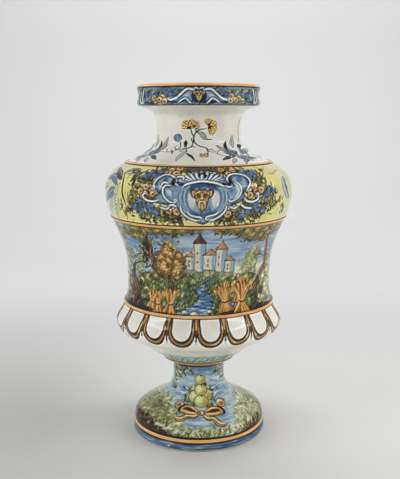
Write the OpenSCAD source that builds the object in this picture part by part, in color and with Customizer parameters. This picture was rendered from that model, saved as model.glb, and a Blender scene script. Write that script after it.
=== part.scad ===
// Footed baluster vase in tin-glazed earthenware.
// Such a vase is thrown in sections, which are luted together with slip while the clay is leather-hard.
// Each section is a revolved wall whose outline runs through named stations, and a low tongue on its
// upper edge locates the next section. Strings of clay are pressed over the seams that show.
// The origin is the centre of the standing face, with +Z up.

/* [Foot] */
// Outer radius of the ring that the vase stands on
base_r = 82.6; // [80:0.2:88]
// Height of the base ring
base_h = 9; // [7:0.5:11]
// Radial width of the base ring
base_w = 13; // [11:0.5:16]
// Radius of the rounded lower edge of the base ring
base_low_round = 4.5; // [2:0.5:6]
// Radius of the rounded upper edge of the base ring
base_top_round = 2.4; // [1:0.2:4]
// How far the bell of the foot is set back from the base ring
bell_step = 2.3; // [1.5:0.1:4]
// Height of the bell's upright edge
bell_edge_h = 6.2; // [5:0.2:9]
// Drop in radius over the rounded edge of the bell
bell_round_w = 9.2; // [7:0.2:12]
// Rise over the rounded edge of the bell
bell_round_h = 15; // [12:0.5:17]
// Height from the rounded edge of the bell to the stem
bell_h = 39; // [34:0.5:46]
// Outer radius of the stem
stem_r = 31.6; // [28:0.2:35]
// Straight height of the stem above the bell
stem_h = 21; // [14:0.5:28]
// Wall of the foot
foot_wall = 8; // [7:0.5:10]

/* [Bowl] */
// How far the sharp lower edge of the bowl stands out from the stem
bowl_ledge = 10.8; // [8:0.2:15]
// Thickness of that edge
bowl_foot_h = 1.6; // [1:0.1:3]
// Radius at the turn between the underside and the belt
bowl_turn_r = 90.4; // [87:0.2:94]
// Height of the underside, from the sharp edge up to the turn
underside_h = 33.4; // [30:0.2:38]
// Greatest outer radius of the belt
belt_r = 100.9; // [98:0.1:106]
// Height from the turn to the widest part of the belt
belt_low_h = 17.8; // [14:0.2:22]
// Height from the widest part of the belt to the seam above it
belt_high_h = 21.6; // [18:0.2:26]
// Outer radius at the seam between bowl and drum
belt_seam_r = 90.6; // [88:0.2:94]

/* [Drum] */
// Smallest outer radius of the drum
waist_r = 85.9; // [82:0.1:88]
// Height from the lower seam to the waist
waist_low_h = 23; // [18:0.5:30]
// Height from the waist to the upper seam
waist_high_h = 79.8; // [65:0.2:95]
// Outer radius at the seam between drum and shoulder
drum_seam_r = 104.4; // [101:0.2:108]

/* [Shoulder] */
// Greatest outer radius of the vase, at the shoulder
shoulder_r = 111.2; // [109:0.1:117]
// Height from the lower seam of the shoulder to its widest part
shoulder_low_h = 29; // [24:0.5:35]
// Height from the widest part of the shoulder to the seam of the neck
shoulder_high_h = 35.1; // [31:0.1:40]
// Outer radius at the seam between shoulder and neck
neck_seam_r = 85.6; // [82:0.2:90]

/* [Neck and mouth] */
// Smallest outer radius of the neck
neck_r = 50; // [46:0.2:53]
// Height from the seam of the neck to its narrowest part
neck_low_h = 33.2; // [29:0.2:38]
// Height from the narrowest part of the neck to the seam of the collar
neck_high_h = 26; // [22:0.5:30]
// Outer radius at the seam between neck and collar
collar_seam_r = 56.9; // [55:0.1:60]
// Greatest outer radius of the collar
collar_r = 72; // [69:0.2:78]
// Height from the seam of the collar to its lower edge
collar_low_h = 7.4; // [6:0.2:10]
// Height of the collar's upright band
collar_band_h = 18.2; // [14:0.2:24]
// Depth of the hollow in that band
collar_hollow = 1.5; // [0.5:0.1:2.5]
// Width of the rolled lip, from the band to the mouth
lip_w = 9.5; // [7:0.5:12]
// Straight depth of the mouth below the lip
mouth_h = 9; // [6:0.5:12]
// Height of the rolled lip
lip_h = 3.6; // [2.4:0.1:5]

/* [Walls and seams] */
// Wall of the sections above the foot
wall = 7; // [6:0.5:8.5]
// Film of slip left between two luted sections
slip = 0.1; // [0.05:0.01:0.2]
// Height of the tongue on each section's upper edge
tongue_h = 3; // [2:0.2:4]
// Thickness of the tongue
tongue_t = 2.6; // [2:0.1:3.2]
// Width of a string of clay over a seam, along the wall
string_w = 3.6; // [2.6:0.2:4.6]
// How far a string stands out of the wall
string_t = 0.9; // [0.5:0.1:1.4]

/* [Hidden] */
$fn = 96;

// Number of straight steps in each curve of an outline
curve_steps = 12;
arc_steps = 8;

// Lean of the wall at each sloping station, in degrees from upright, outwards as it rises
bell_lean = -57;
bowl_foot_lean = 49.5;
bowl_turn_lean = 61;
belt_seam_lean = -23;
drum_seam_lean = 24.5;
neck_seam_lean = -64.5;
collar_seam_lean = 61;
collar_edge_lean = 20;

// Heights of the stations, stacked from the standing face
bell_z = base_h + slip;
bell_edge_z = base_h + bell_edge_h;
bell_turn_z = bell_edge_z + bell_round_h;
stem_z = bell_turn_z + bell_h;
stem_top_z = stem_z + stem_h;
bowl_z = stem_top_z + slip;
bowl_edge_z = bowl_z + bowl_foot_h;
bowl_turn_z = bowl_edge_z + underside_h;
belt_z = bowl_turn_z + belt_low_h;
belt_seam_z = belt_z + belt_high_h;
waist_z = belt_seam_z + waist_low_h;
drum_seam_z = waist_z + waist_high_h;
shoulder_z = drum_seam_z + shoulder_low_h;
neck_seam_z = shoulder_z + shoulder_high_h;
neck_z = neck_seam_z + neck_low_h;
collar_seam_z = neck_z + neck_high_h;
collar_edge_z = collar_seam_z + collar_low_h;
lip_z = collar_edge_z + collar_band_h;

// Radii that follow from the ones above
base_inner_r = base_r - base_w;
bell_r = base_r - bell_step;
bell_turn_r = bell_r - bell_round_w;
bowl_foot_r = stem_r + bowl_ledge;
mouth_r = collar_r - lip_w;

// Stations of the outer face. Each is [radius, height, lean].
bell_low = [bell_r, bell_z, 0];
bell_edge = [bell_r, bell_edge_z, 0];
bell_turn = [bell_turn_r, bell_turn_z, bell_lean];
stem_low = [stem_r, stem_z, 0];
stem_top = [stem_r, stem_top_z, 0];
bowl_edge = [bowl_foot_r, bowl_edge_z, bowl_foot_lean];
bowl_turn = [bowl_turn_r, bowl_turn_z, bowl_turn_lean];
belt = [belt_r, belt_z, 0];
belt_seam = [belt_seam_r, belt_seam_z, belt_seam_lean];
waist = [waist_r, waist_z, 0];
drum_seam = [drum_seam_r, drum_seam_z, drum_seam_lean];
shoulder_side = [shoulder_r, shoulder_z, 0];
neck_seam = [neck_seam_r, neck_seam_z, neck_seam_lean];
neck_waist = [neck_r, neck_z, 0];
collar_seam = [collar_seam_r, collar_seam_z, collar_seam_lean];
collar_edge = [collar_r, collar_edge_z, collar_edge_lean];
collar_top = [collar_r, lip_z, 0];
mouth = [mouth_r, lip_z - mouth_h, 0];

// Lengths of the two handles of each curve, as shares of its chord
bell_round_shares = [0.5, 0.37];
bell_shares = [0.33, 0.42];
underside_shares = [0.3, 0.29];
belt_low_shares = [0.38, 0.3];
belt_high_shares = [0.34, 0.44];
waist_low_shares = [0.4, 0.4];
waist_high_shares = [0.46, 0.45];
shoulder_low_shares = [0.3, 0.31];
shoulder_high_shares = [0.44, 0.42];
neck_low_shares = [0.46, 0.4];
neck_high_shares = [0.45, 0.25];
collar_low_shares = [0.4, 0.3];
collar_hollow_shares = [0.4, 0.4];
mouth_shares = [0.5, 0.3];

// Point, upward direction and inward direction of a station, and the station moved inwards or upwards
function spot(s) = [s[0], s[1]];
function upward(s) = [sin(s[2]), cos(s[2])];
function inward(s) = [-cos(s[2]), sin(s[2])];
function inside(s, t) = concat(spot(s) + t * inward(s), s[2]);
function above(s, d) = concat(spot(s) + d * upward(s), s[2]);

// Smooth curve that leaves station a and arrives at station b along the lean of each
function curve(a, b, shares) =
    let (chord = norm(spot(b) - spot(a)),
         leave = spot(a) + shares[0] * chord * upward(a),
         arrive = spot(b) - shares[1] * chord * upward(b))
    [for (i = [0 : curve_steps]) let (t = i / curve_steps, u = 1 - t)
        u * u * u * spot(a) + 3 * t * u * u * leave + 3 * t * t * u * arrive + t * t * t * spot(b)];

// Curve through a list of stations, with one pair of shares for each stretch
function path(stations, shares) = [for (i = [0 : len(shares) - 1]) each curve(stations[i], stations[i + 1], shares[i])];
function backwards(points) = [for (i = [len(points) - 1 : -1 : 0]) points[i]];
function arc(centre, rx, ry, from, to) =
    [for (i = [0 : arc_steps]) let (a = from + (to - from) * i / arc_steps) centre + [rx * cos(a), ry * sin(a)]];

// Section through the tongue at seam s, in the middle of a wall, h above the seam and d below it
module tongue(s, thickness, h, d, t) {
    translate(spot(s) + thickness / 2 * inward(s))
        rotate(-s[2])
            translate([-t / 2, -d])
                square([t, h + d]);
}

// Wall between an outer and an inner outline, both from the bottom up,
// with a groove for the tongue of the seam below and a tongue at the seam above
module section(outer, inner, low, high, low_wall, high_wall) {
    rotate_extrude()
        union() {
            difference() {
                polygon(concat(outer, backwards(inner)));
                tongue(low, low_wall, tongue_h + slip, tongue_h, tongue_t + 2 * slip);
            }
            tongue(high, high_wall, tongue_h, tongue_h, tongue_t);
        }
}

// Half-round string of clay pressed over the seam at station s. Its back takes the form of the wall,
// whose outline is given through the stations around the seam.
module string(s, stations, shares) {
    outline = path(stations, shares);
    rotate_extrude()
        translate(-slip * inward(s))
            difference() {
                translate(spot(s))
                    rotate(-s[2])
                        polygon(arc([0, 0], string_t, string_w / 2, -90, 90));
                polygon(concat([[0, outline[0][1]]], outline, [[0, outline[len(outline) - 1][1]]]));
            }
}

module base_ring() {
    color("royalblue")
        rotate_extrude()
            polygon(concat([[base_inner_r, 0]],
                           arc([base_r - base_low_round, base_low_round], base_low_round, base_low_round, -90, 0),
                           arc([base_r - base_top_round, base_h - base_top_round], base_top_round, base_top_round, 0, 90),
                           [[base_inner_r, base_h]]));
}

// Bell and stem, thrown as one piece
module foot() {
    outer = concat([spot(bell_low)], path([bell_edge, bell_turn, stem_low], [bell_round_shares, bell_shares]),
                   [spot(stem_top)]);
    inner = concat([spot(inside(bell_low, foot_wall))],
                   path([inside(bell_edge, foot_wall), inside(bell_turn, foot_wall), inside(stem_low, foot_wall)],
                        [bell_round_shares, bell_shares]),
                   [spot(inside(stem_top, foot_wall))]);
    color("cadetblue")
        rotate_extrude()
            union() {
                polygon(concat(outer, backwards(inner)));
                tongue(stem_top, foot_wall, tongue_h, tongue_h, tongue_t);
            }
}

module foot_string() {
    color("orange")
        string([bell_r, bell_z + string_w / 2, 0], [bell_edge, bell_turn], [bell_round_shares]);
}

// Cove of soft clay in the corner between the stem and the disc under the bowl
module stem_coil() {
    cove = bowl_ledge / 2;
    corner = [stem_r + slip, stem_top_z];
    color("steelblue")
        rotate_extrude()
            polygon(concat([corner], arc(corner + [cove, -cove], cove - slip, cove - slip, 90, 180)));
}

module bowl() {
    stations = [bowl_edge, bowl_turn, belt, belt_seam];
    shares = [underside_shares, belt_low_shares, belt_high_shares];
    floor_z = inside(bowl_edge, wall)[1];
    color("ivory")
        rotate_extrude()
            union() {
                difference() {
                    polygon(concat([[0, bowl_z], [bowl_foot_r - bowl_foot_h, bowl_z]], path(stations, shares),
                                   backwards(path([for (s = stations) inside(s, wall)], shares)), [[0, floor_z]]));
                    tongue(stem_top, foot_wall, tongue_h + slip, tongue_h, tongue_t + 2 * slip);
                }
                tongue(belt_seam, wall, tongue_h, tongue_h, tongue_t);
            }
}

module bowl_string() {
    color("orange")
        string(above(bowl_edge, string_w / 2), [bowl_edge, bowl_turn], [underside_shares]);
}

// Wall of even thickness through the given stations, luted on to the section below it
module luted_section(stations, shares) {
    low = stations[0];
    high = stations[len(stations) - 1];
    raised = concat([above(low, slip)], [for (i = [1 : len(stations) - 1]) stations[i]]);
    section(path(raised, shares), path([for (s = raised) inside(s, wall)], shares), low, high, wall, wall);
}

module drum() {
    color("yellowgreen")
        luted_section([belt_seam, waist, drum_seam], [waist_low_shares, waist_high_shares]);
}

module belt_string() {
    color("orange")
        string(belt_seam, [belt, belt_seam, waist], [belt_high_shares, waist_low_shares]);
}

module shoulder() {
    color("khaki")
        luted_section([drum_seam, shoulder_side, neck_seam], [shoulder_low_shares, shoulder_high_shares]);
}

module shoulder_string() {
    color("orange")
        string(drum_seam, [waist, drum_seam, shoulder_side], [waist_high_shares, shoulder_low_shares]);
}

module neck() {
    color("snow")
        luted_section([neck_seam, neck_waist, collar_seam], [neck_low_shares, neck_high_shares]);
}

module neck_string() {
    color("orange")
        string(neck_seam, [shoulder_side, neck_seam, neck_waist], [shoulder_high_shares, neck_low_shares]);
}

// Mouth collar, hollowed on its outer face, with a straight mouth inside and a rolled lip on top
module collar() {
    low = above(collar_seam, slip);
    hollow = [collar_r - collar_hollow, (collar_edge_z + lip_z) / 2, 0];
    outer = path([low, collar_edge], [collar_low_shares]);
    band = path([[collar_r, collar_edge_z, 0], hollow, collar_top], [collar_hollow_shares, collar_hollow_shares]);
    lip = arc([collar_r - lip_w / 2, lip_z], lip_w / 2, lip_h, 0, 180);
    inner = path([inside(low, wall), mouth], [mouth_shares]);
    color("slateblue")
        rotate_extrude()
            difference() {
                polygon(concat(outer, band, lip, backwards(inner)));
                tongue(collar_seam, wall, tongue_h + slip, tongue_h, tongue_t + 2 * slip);
            }
}

base_ring();
foot();
foot_string();
stem_coil();
bowl();
bowl_string();
drum();
belt_string();
shoulder();
shoulder_string();
neck();
neck_string();
collar();
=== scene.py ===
# %% [markdown]
# # A painted maiolica baluster vase
# The real vase is earthenware, thrown on the wheel in six hollow sections and luted together. It was
# dipped in white tin glaze, and painted on the raw glaze with metal oxides: cobalt blue, copper green,
# antimony yellow, iron orange and manganese brown. One firing then made glaze and painting one skin.
# The frame holds the sections at their real size, so this lesson gives each of them its painted surface.

# %% The frame
import math

import bpy
import numpy as np
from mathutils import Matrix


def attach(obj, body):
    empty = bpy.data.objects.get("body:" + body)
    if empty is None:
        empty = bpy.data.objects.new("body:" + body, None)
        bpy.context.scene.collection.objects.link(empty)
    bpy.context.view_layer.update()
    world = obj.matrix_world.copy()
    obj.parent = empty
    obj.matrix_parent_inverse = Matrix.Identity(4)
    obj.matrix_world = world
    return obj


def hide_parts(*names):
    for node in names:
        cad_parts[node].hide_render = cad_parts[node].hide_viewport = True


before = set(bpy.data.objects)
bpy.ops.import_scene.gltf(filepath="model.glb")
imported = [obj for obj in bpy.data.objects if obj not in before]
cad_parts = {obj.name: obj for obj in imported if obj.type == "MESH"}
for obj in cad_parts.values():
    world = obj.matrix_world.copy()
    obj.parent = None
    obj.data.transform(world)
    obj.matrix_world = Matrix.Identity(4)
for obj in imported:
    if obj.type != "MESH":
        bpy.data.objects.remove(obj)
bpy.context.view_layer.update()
print("pieces in the frame:", ", ".join(sorted(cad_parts)))

# %% [markdown]
# ## The outline of each section
# A thrown wall is a surface of revolution, so its whole shape is one outline. The outline runs through
# stations: a radius, a height and a lean of the wall, in millimetres and degrees. Between two stations
# lies one cubic curve whose handles follow the lean, as a thrower's rib gives the clay one sweep.

# %% Curves through the stations
MM = 0.001


def upward(station):
    """Unit vector up along the wall: (sin lean, cos lean)."""
    lean = math.radians(station[2])
    return np.array([math.sin(lean), math.cos(lean)])


def inside(station, depth):
    """The station moved by depth into the wall, at a right angle to it."""
    along = upward(station)
    spot = np.array(station[:2]) + depth * np.array([-along[1], along[0]])
    return (spot[0], spot[1], station[2])


def curve(start, end, shares, steps=40):
    """Cubic curve from start to end. Each handle is a share of the chord, laid along the lean of its end."""
    first, last = np.array(start[:2]), np.array(end[:2])
    chord = np.linalg.norm(last - first)
    leave = first + shares[0] * chord * upward(start)
    arrive = last - shares[1] * chord * upward(end)
    t = np.linspace(0, 1, steps + 1)[:, None]
    return (1 - t) ** 3 * first + 3 * t * (1 - t) ** 2 * leave + 3 * t * t * (1 - t) * arrive + t**3 * last


def path(stations, shares):
    """The curves through all the stations, one after the other."""
    return np.vstack([curve(a, b, s) for a, b, s in zip(stations, stations[1:], shares)])


def arc(centre, across, high, start, end, steps=12):
    """Part of an ellipse round centre, from the angle start to the angle end in degrees."""
    turn = np.radians(np.linspace(start, end, steps + 1))
    return np.column_stack([centre[0] + across * np.cos(turn), centre[1] + high * np.sin(turn)])


def evenly(points, step):
    """The same line with its points step apart, measured along it."""
    keep = np.r_[True, np.hypot(*np.diff(points, axis=0).T) > 1e-6]
    points = points[keep]
    along = np.r_[0, np.cumsum(np.hypot(*np.diff(points, axis=0).T))]
    t = np.linspace(0, along[-1], max(2, round(along[-1] / step) + 1))
    return np.column_stack([np.interp(t, along, points[:, 0]), np.interp(t, along, points[:, 1])])


BELL_LOW, BELL_EDGE, BELL_TURN = (80.3, 9.1, 0), (80.3, 15.2, 0), (71.1, 30.2, -57)
STEM_LOW, STEM_TOP = (31.6, 69.2, 0), (31.6, 90.2, 0)
BOWL_EDGE, BOWL_TURN, BELT = (42.4, 91.9, 49.5), (90.4, 125.3, 61), (100.9, 143.1, 0)
BELT_SEAM, WAIST, DRUM_SEAM = (90.6, 164.7, -23), (85.9, 187.7, 0), (104.4, 267.5, 24.5)
SHOULDER, NECK_SEAM, NECK = (111.2, 296.5, 0), (85.6, 331.6, -64.5), (50, 364.8, 0)
COLLAR_SEAM, COLLAR_EDGE, COLLAR_FOOT = (56.9, 390.8, 61), (72, 398.2, 20), (72, 398.2, 0)
COLLAR_HOLLOW, COLLAR_TOP, MOUTH = (70.5, 407.3, 0), (72, 416.4, 0), (62.5, 407.4, 0)
LIP_MIDDLE, LIP_WIDE, LIP_HIGH = (67.25, 416.4), 4.75, 3.6
BASE_BORE, BASE_ROLL, BASE_EDGE = 69.6, (78.1, 4.5, 4.5), (80.2, 6.6, 2.4)
WALL, FOOT_WALL = 7, 8
SHARES = {
    "foot": [(0.5, 0.37), (0.33, 0.42)],
    "bowl": [(0.3, 0.29), (0.38, 0.3), (0.34, 0.44)],
    "drum": [(0.4, 0.4), (0.46, 0.45)],
    "shoulder": [(0.3, 0.31), (0.44, 0.42)],
    "neck": [(0.46, 0.4), (0.45, 0.25)],
}
print("stations stack up to", COLLAR_TOP[1], "mm, below a lip of", LIP_HIGH, "mm")

# %% [markdown]
# ## Outside and inside of every wall
# Each section needs two lines: the outside, which is painted, and the inside, which is bare glaze.
# The outside gets a point every 0.8 mm or so, because the painting will be stored in those points.

# %% Lines of the sections
ROW = 0.8
INNER_ROW = 8.0


def wall_lines(stations, shares, wall):
    """Outer line upwards and inner line downwards of a wall of even thickness."""
    outer = path(stations, shares)
    inner = path([inside(s, wall) for s in stations], shares)
    return evenly(outer, ROW), evenly(inner[::-1], INNER_ROW)


def quarter(circle, start):
    """A quarter of a circle, which is given as the radius and height of its middle and its own radius."""
    return arc(circle[:2], circle[2], circle[2], start, start + 90)


bell = (BELL_EDGE, BELL_TURN, STEM_LOW)
foot_outer = np.vstack([[BELL_LOW[:2]], path(bell, SHARES["foot"]), [STEM_TOP[:2]]])
foot_inner = np.vstack([
    [inside(BELL_LOW, FOOT_WALL)[:2]],
    path([inside(s, FOOT_WALL) for s in bell], SHARES["foot"]),
    [inside(STEM_TOP, FOOT_WALL)[:2]],
])
bowl_outer, bowl_inner = wall_lines([BOWL_EDGE, BOWL_TURN, BELT, BELT_SEAM], SHARES["bowl"], WALL)
collar_inner = curve(inside(COLLAR_SEAM, WALL), MOUTH, (0.5, 0.3))
collar_outer = np.vstack([
    curve(COLLAR_SEAM, COLLAR_EDGE, (0.4, 0.3)),
    path([COLLAR_FOOT, COLLAR_HOLLOW, COLLAR_TOP], [(0.4, 0.4), (0.4, 0.4)]),
    arc(LIP_MIDDLE, LIP_WIDE, LIP_HIGH, 0, 90),
])
lip_inner = arc(LIP_MIDDLE, LIP_WIDE, LIP_HIGH, 90, 180)
base_outer = np.vstack([quarter(BASE_ROLL, -90), quarter(BASE_EDGE, 0)])
collar_inside = np.vstack([lip_inner, [MOUTH[:2]], collar_inner[::-1]])
base_inner = np.array([[BASE_BORE, height] for height in (9.0, 6.0, 3.0, 0.0)])
lines = {
    "base_ring": (evenly(base_outer, 0.5), base_inner),
    "foot": (evenly(foot_outer, ROW), evenly(foot_inner[::-1], INNER_ROW)),
    "bowl": (bowl_outer, bowl_inner),
    "drum": wall_lines([BELT_SEAM, WAIST, DRUM_SEAM], SHARES["drum"], WALL),
    "shoulder": wall_lines([DRUM_SEAM, SHOULDER, NECK_SEAM], SHARES["shoulder"], WALL),
    "neck": wall_lines([NECK_SEAM, NECK, COLLAR_SEAM], SHARES["neck"], WALL),
    "collar": (evenly(collar_outer, 0.6), evenly(collar_inside, 1.5)),
}
for section, (outer, inner) in lines.items():
    print(f"{section}: {len(outer)} rows outside, {len(inner)} inside")

# %% [markdown]
# ## Small tools first
# A colour is three numbers, a shade has soft edges, and a brush moves in curves rather than corners.
# These helpers make such values, so that the painting below can be written in a painter's terms.

# %% Colours, ramps and soft lines
DEG = math.pi / 180


def rgb(red, green, blue):
    """A glaze colour from its three screen values of 0 to 255."""
    return np.array([red, green, blue]) / 255


def ramp(value, start, end):
    """0 where the value is before start, 1 where it is past end, and straight in between."""
    return np.clip((value - start) / (end - start), 0, 1)


def bump(distance, width):
    """A soft hill of height 1 round distance 0: exp(-(distance / width) ** 2)."""
    return np.exp(-((distance / width) ** 2))


def smooth_line(points, closed=False, steps=6):
    """A soft curve through the points: between two of them, a cubic that leans on their neighbours."""
    p = np.array(points, float)
    if len(p) < 3 and not closed:
        return p
    before, after = (p[-1:], p[:2]) if closed else (p[:1] * 2 - p[1:2], p[-1:] * 2 - p[-2:-1])
    p = np.vstack([before, p, after])
    t = (np.arange(steps) / steps)[:, None, None]
    a, b, c, d = p[None, :-3], p[None, 1:-2], p[None, 2:-1], p[None, 3:]
    q = 0.5 * (2 * b + (c - a) * t + (2 * a - 5 * b + 4 * c - d) * t**2 + (3 * b - a - 3 * c + d) * t**3)
    q = q.transpose(1, 0, 2).reshape(-1, 2)
    return q if closed else np.vstack([q, p[-2:-1]])


print("halfway up a ramp:", ramp(1, 0, 2), "and a bump at its own width:", round(float(bump(1, 1)), 3))

# %% [markdown]
# ## A canvas that goes round
# A painter turns the vase on a banding wheel and paints a wall that has no ends. The canvas here is the
# same: its rows climb the outline by arc length s in millimetres, and its columns go round by azimuth a
# in degrees, with 0 at the front. A brush works in real millimetres on the part of the canvas near it,
# and columns past the back come round again. The back repeats the front, so the vase can be turned under
# the brush. Colours are kept as plain screen values from 0 to 1.

# %% The canvas and its brushes
class Canvas:
    """Glaze colours over one wall: rgb and relief hold a value at each row s and column a."""

    def __init__(self, line, columns, ground, seed):
        self.s = np.r_[0, np.cumsum(np.hypot(*np.diff(line, axis=0).T))]
        self.r = line[:, 0]
        self.up = self.s[:, None]
        self.columns = columns
        self.a = -180 + 360 * np.arange(columns) / columns
        self.front = 0
        self.rgb = np.tile(np.asarray(ground, float), (len(self.s), columns, 1))
        self.relief = np.zeros((len(self.s), columns))
        self.chance = np.random.default_rng(seed)
        self.pick = self.chance.uniform
        self.grain = 1 - 0.3 * np.clip(self.cloud(2.0, 1.6) * 3 - 1.4, 0, 1)

    def turn_to(self, azimuth):
        """Turns the vase so that the brush's azimuth 0 lies at that azimuth."""
        self.front = azimuth

    def away(self, azimuth=0):
        """Degrees from that azimuth at each column, or from its copy on the other side if that is nearer."""
        return (self.a - azimuth + 90) % 180 - 90

    def cloud(self, size, stretch=1.0):
        """Soft chance values near 0 to 1: a lattice of random numbers joined smoothly, then a finer and
        fainter one. size is the height of a cell in mm, and stretch its width over its height."""
        total, weight = 0, 0
        for octave in range(2):
            cell = size / 2**octave
            across = max(3, round(2 * math.pi * self.r.mean() / (cell * stretch)))
            lattice = self.chance.random((int(self.s[-1] / cell) + 3, across))
            y, x = self.s / cell, np.arange(self.columns) * across / self.columns
            i, j = y.astype(int), x.astype(int)
            v, u = (y - i)[:, None], (x - j)[None]
            v, u = v * v * (3 - 2 * v), u * u * (3 - 2 * u)
            k = (j + 1) % across
            low = lattice[i][:, j] * (1 - u) + lattice[i][:, k] * u
            high = lattice[i + 1][:, j] * (1 - u) + lattice[i + 1][:, k] * u
            total = total + (low * (1 - v) + high * v) / 2**octave
            weight += 1 / 2**octave
        return total / weight

    def window(self, points, margin):
        """Rows and columns of the canvas within margin mm of the points, and their a, s and radius."""
        low, high = np.min(points, axis=0), np.max(points, axis=0)
        rows = slice(int(np.searchsorted(self.s, low[1] - margin)),
                     int(np.searchsorted(self.s, high[1] + margin)))
        if rows.start >= rows.stop:
            rows = slice(0, 0)
            return rows, np.zeros(0, int), np.zeros((0, 0)), np.zeros((0, 1)), np.ones((0, 1))
        room = margin / (DEG * max(self.r[rows].min(), 5))
        first = math.floor((low[0] + self.front - room + 180) / 360 * self.columns)
        last = math.ceil((high[0] + self.front + room + 180) / 360 * self.columns)
        j = np.arange(first, min(last, first + self.columns - 1) + 1)
        a = -180 + 360 * j[None] / self.columns - self.front
        return rows, j % self.columns, a, self.s[rows, None], self.r[rows, None]

    def lay(self, rows, columns, cover, colour, relief=0.0, dry=True):
        """Lays a colour over the window, as thickly as cover says from 0 to 1. A dry brush skips a little."""
        cover = np.clip(cover, 0, 1) * (self.grain[rows][:, columns] if dry else 1)
        old = self.rgb[rows][:, columns]
        self.rgb[rows, columns] = old + (colour - old) * cover[..., None]
        if relief:
            self.relief[rows, columns] += relief * cover

    def beside(self, a, s, x, y):
        """The place x mm to the right of and y mm above the point a, s."""
        return a + x / (DEG * np.interp(s, self.s, self.r)), s + y

    def moved(self, points, x, y):
        """The same points x mm to the right and y mm up."""
        return [self.beside(a, s, x, y) for a, s in points]

    def placed(self, a, s, size, shape, turn=0.0):
        """A drawing in units of size round 0, 0, turned by turn degrees and set down at a, s."""
        p = np.array(shape, float) * size
        co, si = math.cos(turn * DEG), math.sin(turn * DEG)
        x, y = p[:, 0] * co - p[:, 1] * si, p[:, 0] * si + p[:, 1] * co
        return np.column_stack(self.beside(a, s, x, y))

    def near(self, points, margin, closed=False):
        """Distance in mm to the line through the points, the share of the way along it, and if inside."""
        p = np.vstack([points, points[:1]]) if closed else points
        rows, columns, a, s, r = self.window(p, margin)
        best, along = np.full((len(s), a.shape[1]), 1e9), np.zeros((len(s), a.shape[1]))
        within = np.zeros(best.shape, bool)
        for k, ((a0, s0), (a1, s1)) in enumerate(zip(p[:-1], p[1:])):
            x, y = (a - a0) * DEG * r, s - s0
            vx, vy = (a1 - a0) * DEG * r, s1 - s0
            u = np.clip((x * vx + y * vy) / (vx * vx + vy * vy + 1e-9), 0, 1)
            d = (x - u * vx) ** 2 + (y - u * vy) ** 2
            nearer = d < best
            best = np.where(nearer, d, best)
            along = np.where(nearer, (k + u) / (len(p) - 1), along)
            if closed and s0 != s1:
                within ^= ((s0 > s) != (s1 > s)) & (a < (a1 - a0) * (s - s0) / (s1 - s0) + a0)
        return rows, columns, np.sqrt(best), along, within

    def stroke(self, points, width, colour, ends=(0.25, 0.25), soft=0.8, strength=1.0, relief=0.02):
        """A brush stroke along the points, full in the middle and pointed over the shares in ends."""
        rows, columns, d, t, _ = self.near(smooth_line(points), width)
        full = np.minimum(1, np.minimum((t + 0.02) / (ends[0] + 0.02), (1.02 - t) / (ends[1] + 0.02)))
        cover = (width / 2 * np.sqrt(full) - d) / soft + 0.5
        self.lay(rows, columns, np.clip(cover, 0, 1) * strength, colour, relief)

    def patch(self, points, colour, rim=None, fade=2.0, soft=0.8, strength=1.0, relief=0.02):
        """A filled shape with a soft outline. Over its last fade mm it changes to the colour rim."""
        rows, columns, d, _, within = self.near(smooth_line(points, closed=True), 2, closed=True)
        signed = np.where(within, d, -d)
        if rim is not None:
            share = np.clip(signed / fade, 0, 1)[..., None]
            colour = rim + (colour - rim) * share
        self.lay(rows, columns, np.clip(signed / soft + 0.5, 0, 1) * strength, colour, relief)

    def dab(self, a, s, length, width, turn, colour, soft=0.8, strength=1.0):
        """One touch of the brush: an ellipse of that length and width, turned from level by turn degrees."""
        rows, columns, aa, ss, r = self.window([(a, s)], max(length, width) / 2 + soft)
        x, y = (aa - a) * DEG * r, ss - s
        co, si = math.cos(turn * DEG), math.sin(turn * DEG)
        reach = np.hypot((x * co + y * si) / length, (y * co - x * si) / width) * 2
        self.lay(rows, columns, np.clip((1 - reach) * min(length, width) / 2 / soft + 0.5, 0, 1) * strength,
                 colour)

    def band(self, low, high, colour, soft=0.8, wobble=0.0, strength=1.0):
        """A stripe from s = low to s = high, drawn on the wheel, with a slow wobble in mm."""
        wave = wobble * np.sin(self.a * DEG * 3 + low) + wobble * 0.6 * np.sin(self.a * DEG * 7 + 2 * low)
        s = self.up + wave
        cover = np.minimum((s - low) / soft + 0.5, (high - s) / soft + 0.5)
        self.lay(slice(None), np.arange(self.columns), np.clip(cover, 0, 1) * strength, colour, 0.02,
                 dry=False)

    def wash(self, cover, colour):
        """Washes a colour over the whole canvas, as thickly as the field cover says."""
        self.lay(slice(None), np.arange(self.columns), cover, colour, dry=False)

    def mottle(self, colour, size, stretch, gain, cut, strength, where=1.0):
        """Cloudy patches of a colour: more gain makes them sharper, and a higher cut makes them fewer."""
        self.wash(where * np.clip(self.cloud(size, stretch) * gain - cut, 0, 1) * strength, colour)


def front_and_back(cv, *painters):
    """Lets the painters work on the front one after the other, and then does it all again on the back."""
    for azimuth in (0, 180):
        cv.turn_to(azimuth)
        for painter in painters:
            painter(cv)
    cv.turn_to(0)


print("ways to work on a canvas:", ", ".join(name for name in vars(Canvas) if "__" not in name))

# %% [markdown]
# ## The painter's colours
# Few oxides stand the heat of the glaze firing, so a maiolica painter has few colours. Each is kept here
# in the depths that the brush gives it: a thin wash shows the white ground, and a second coat darkens.

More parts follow.
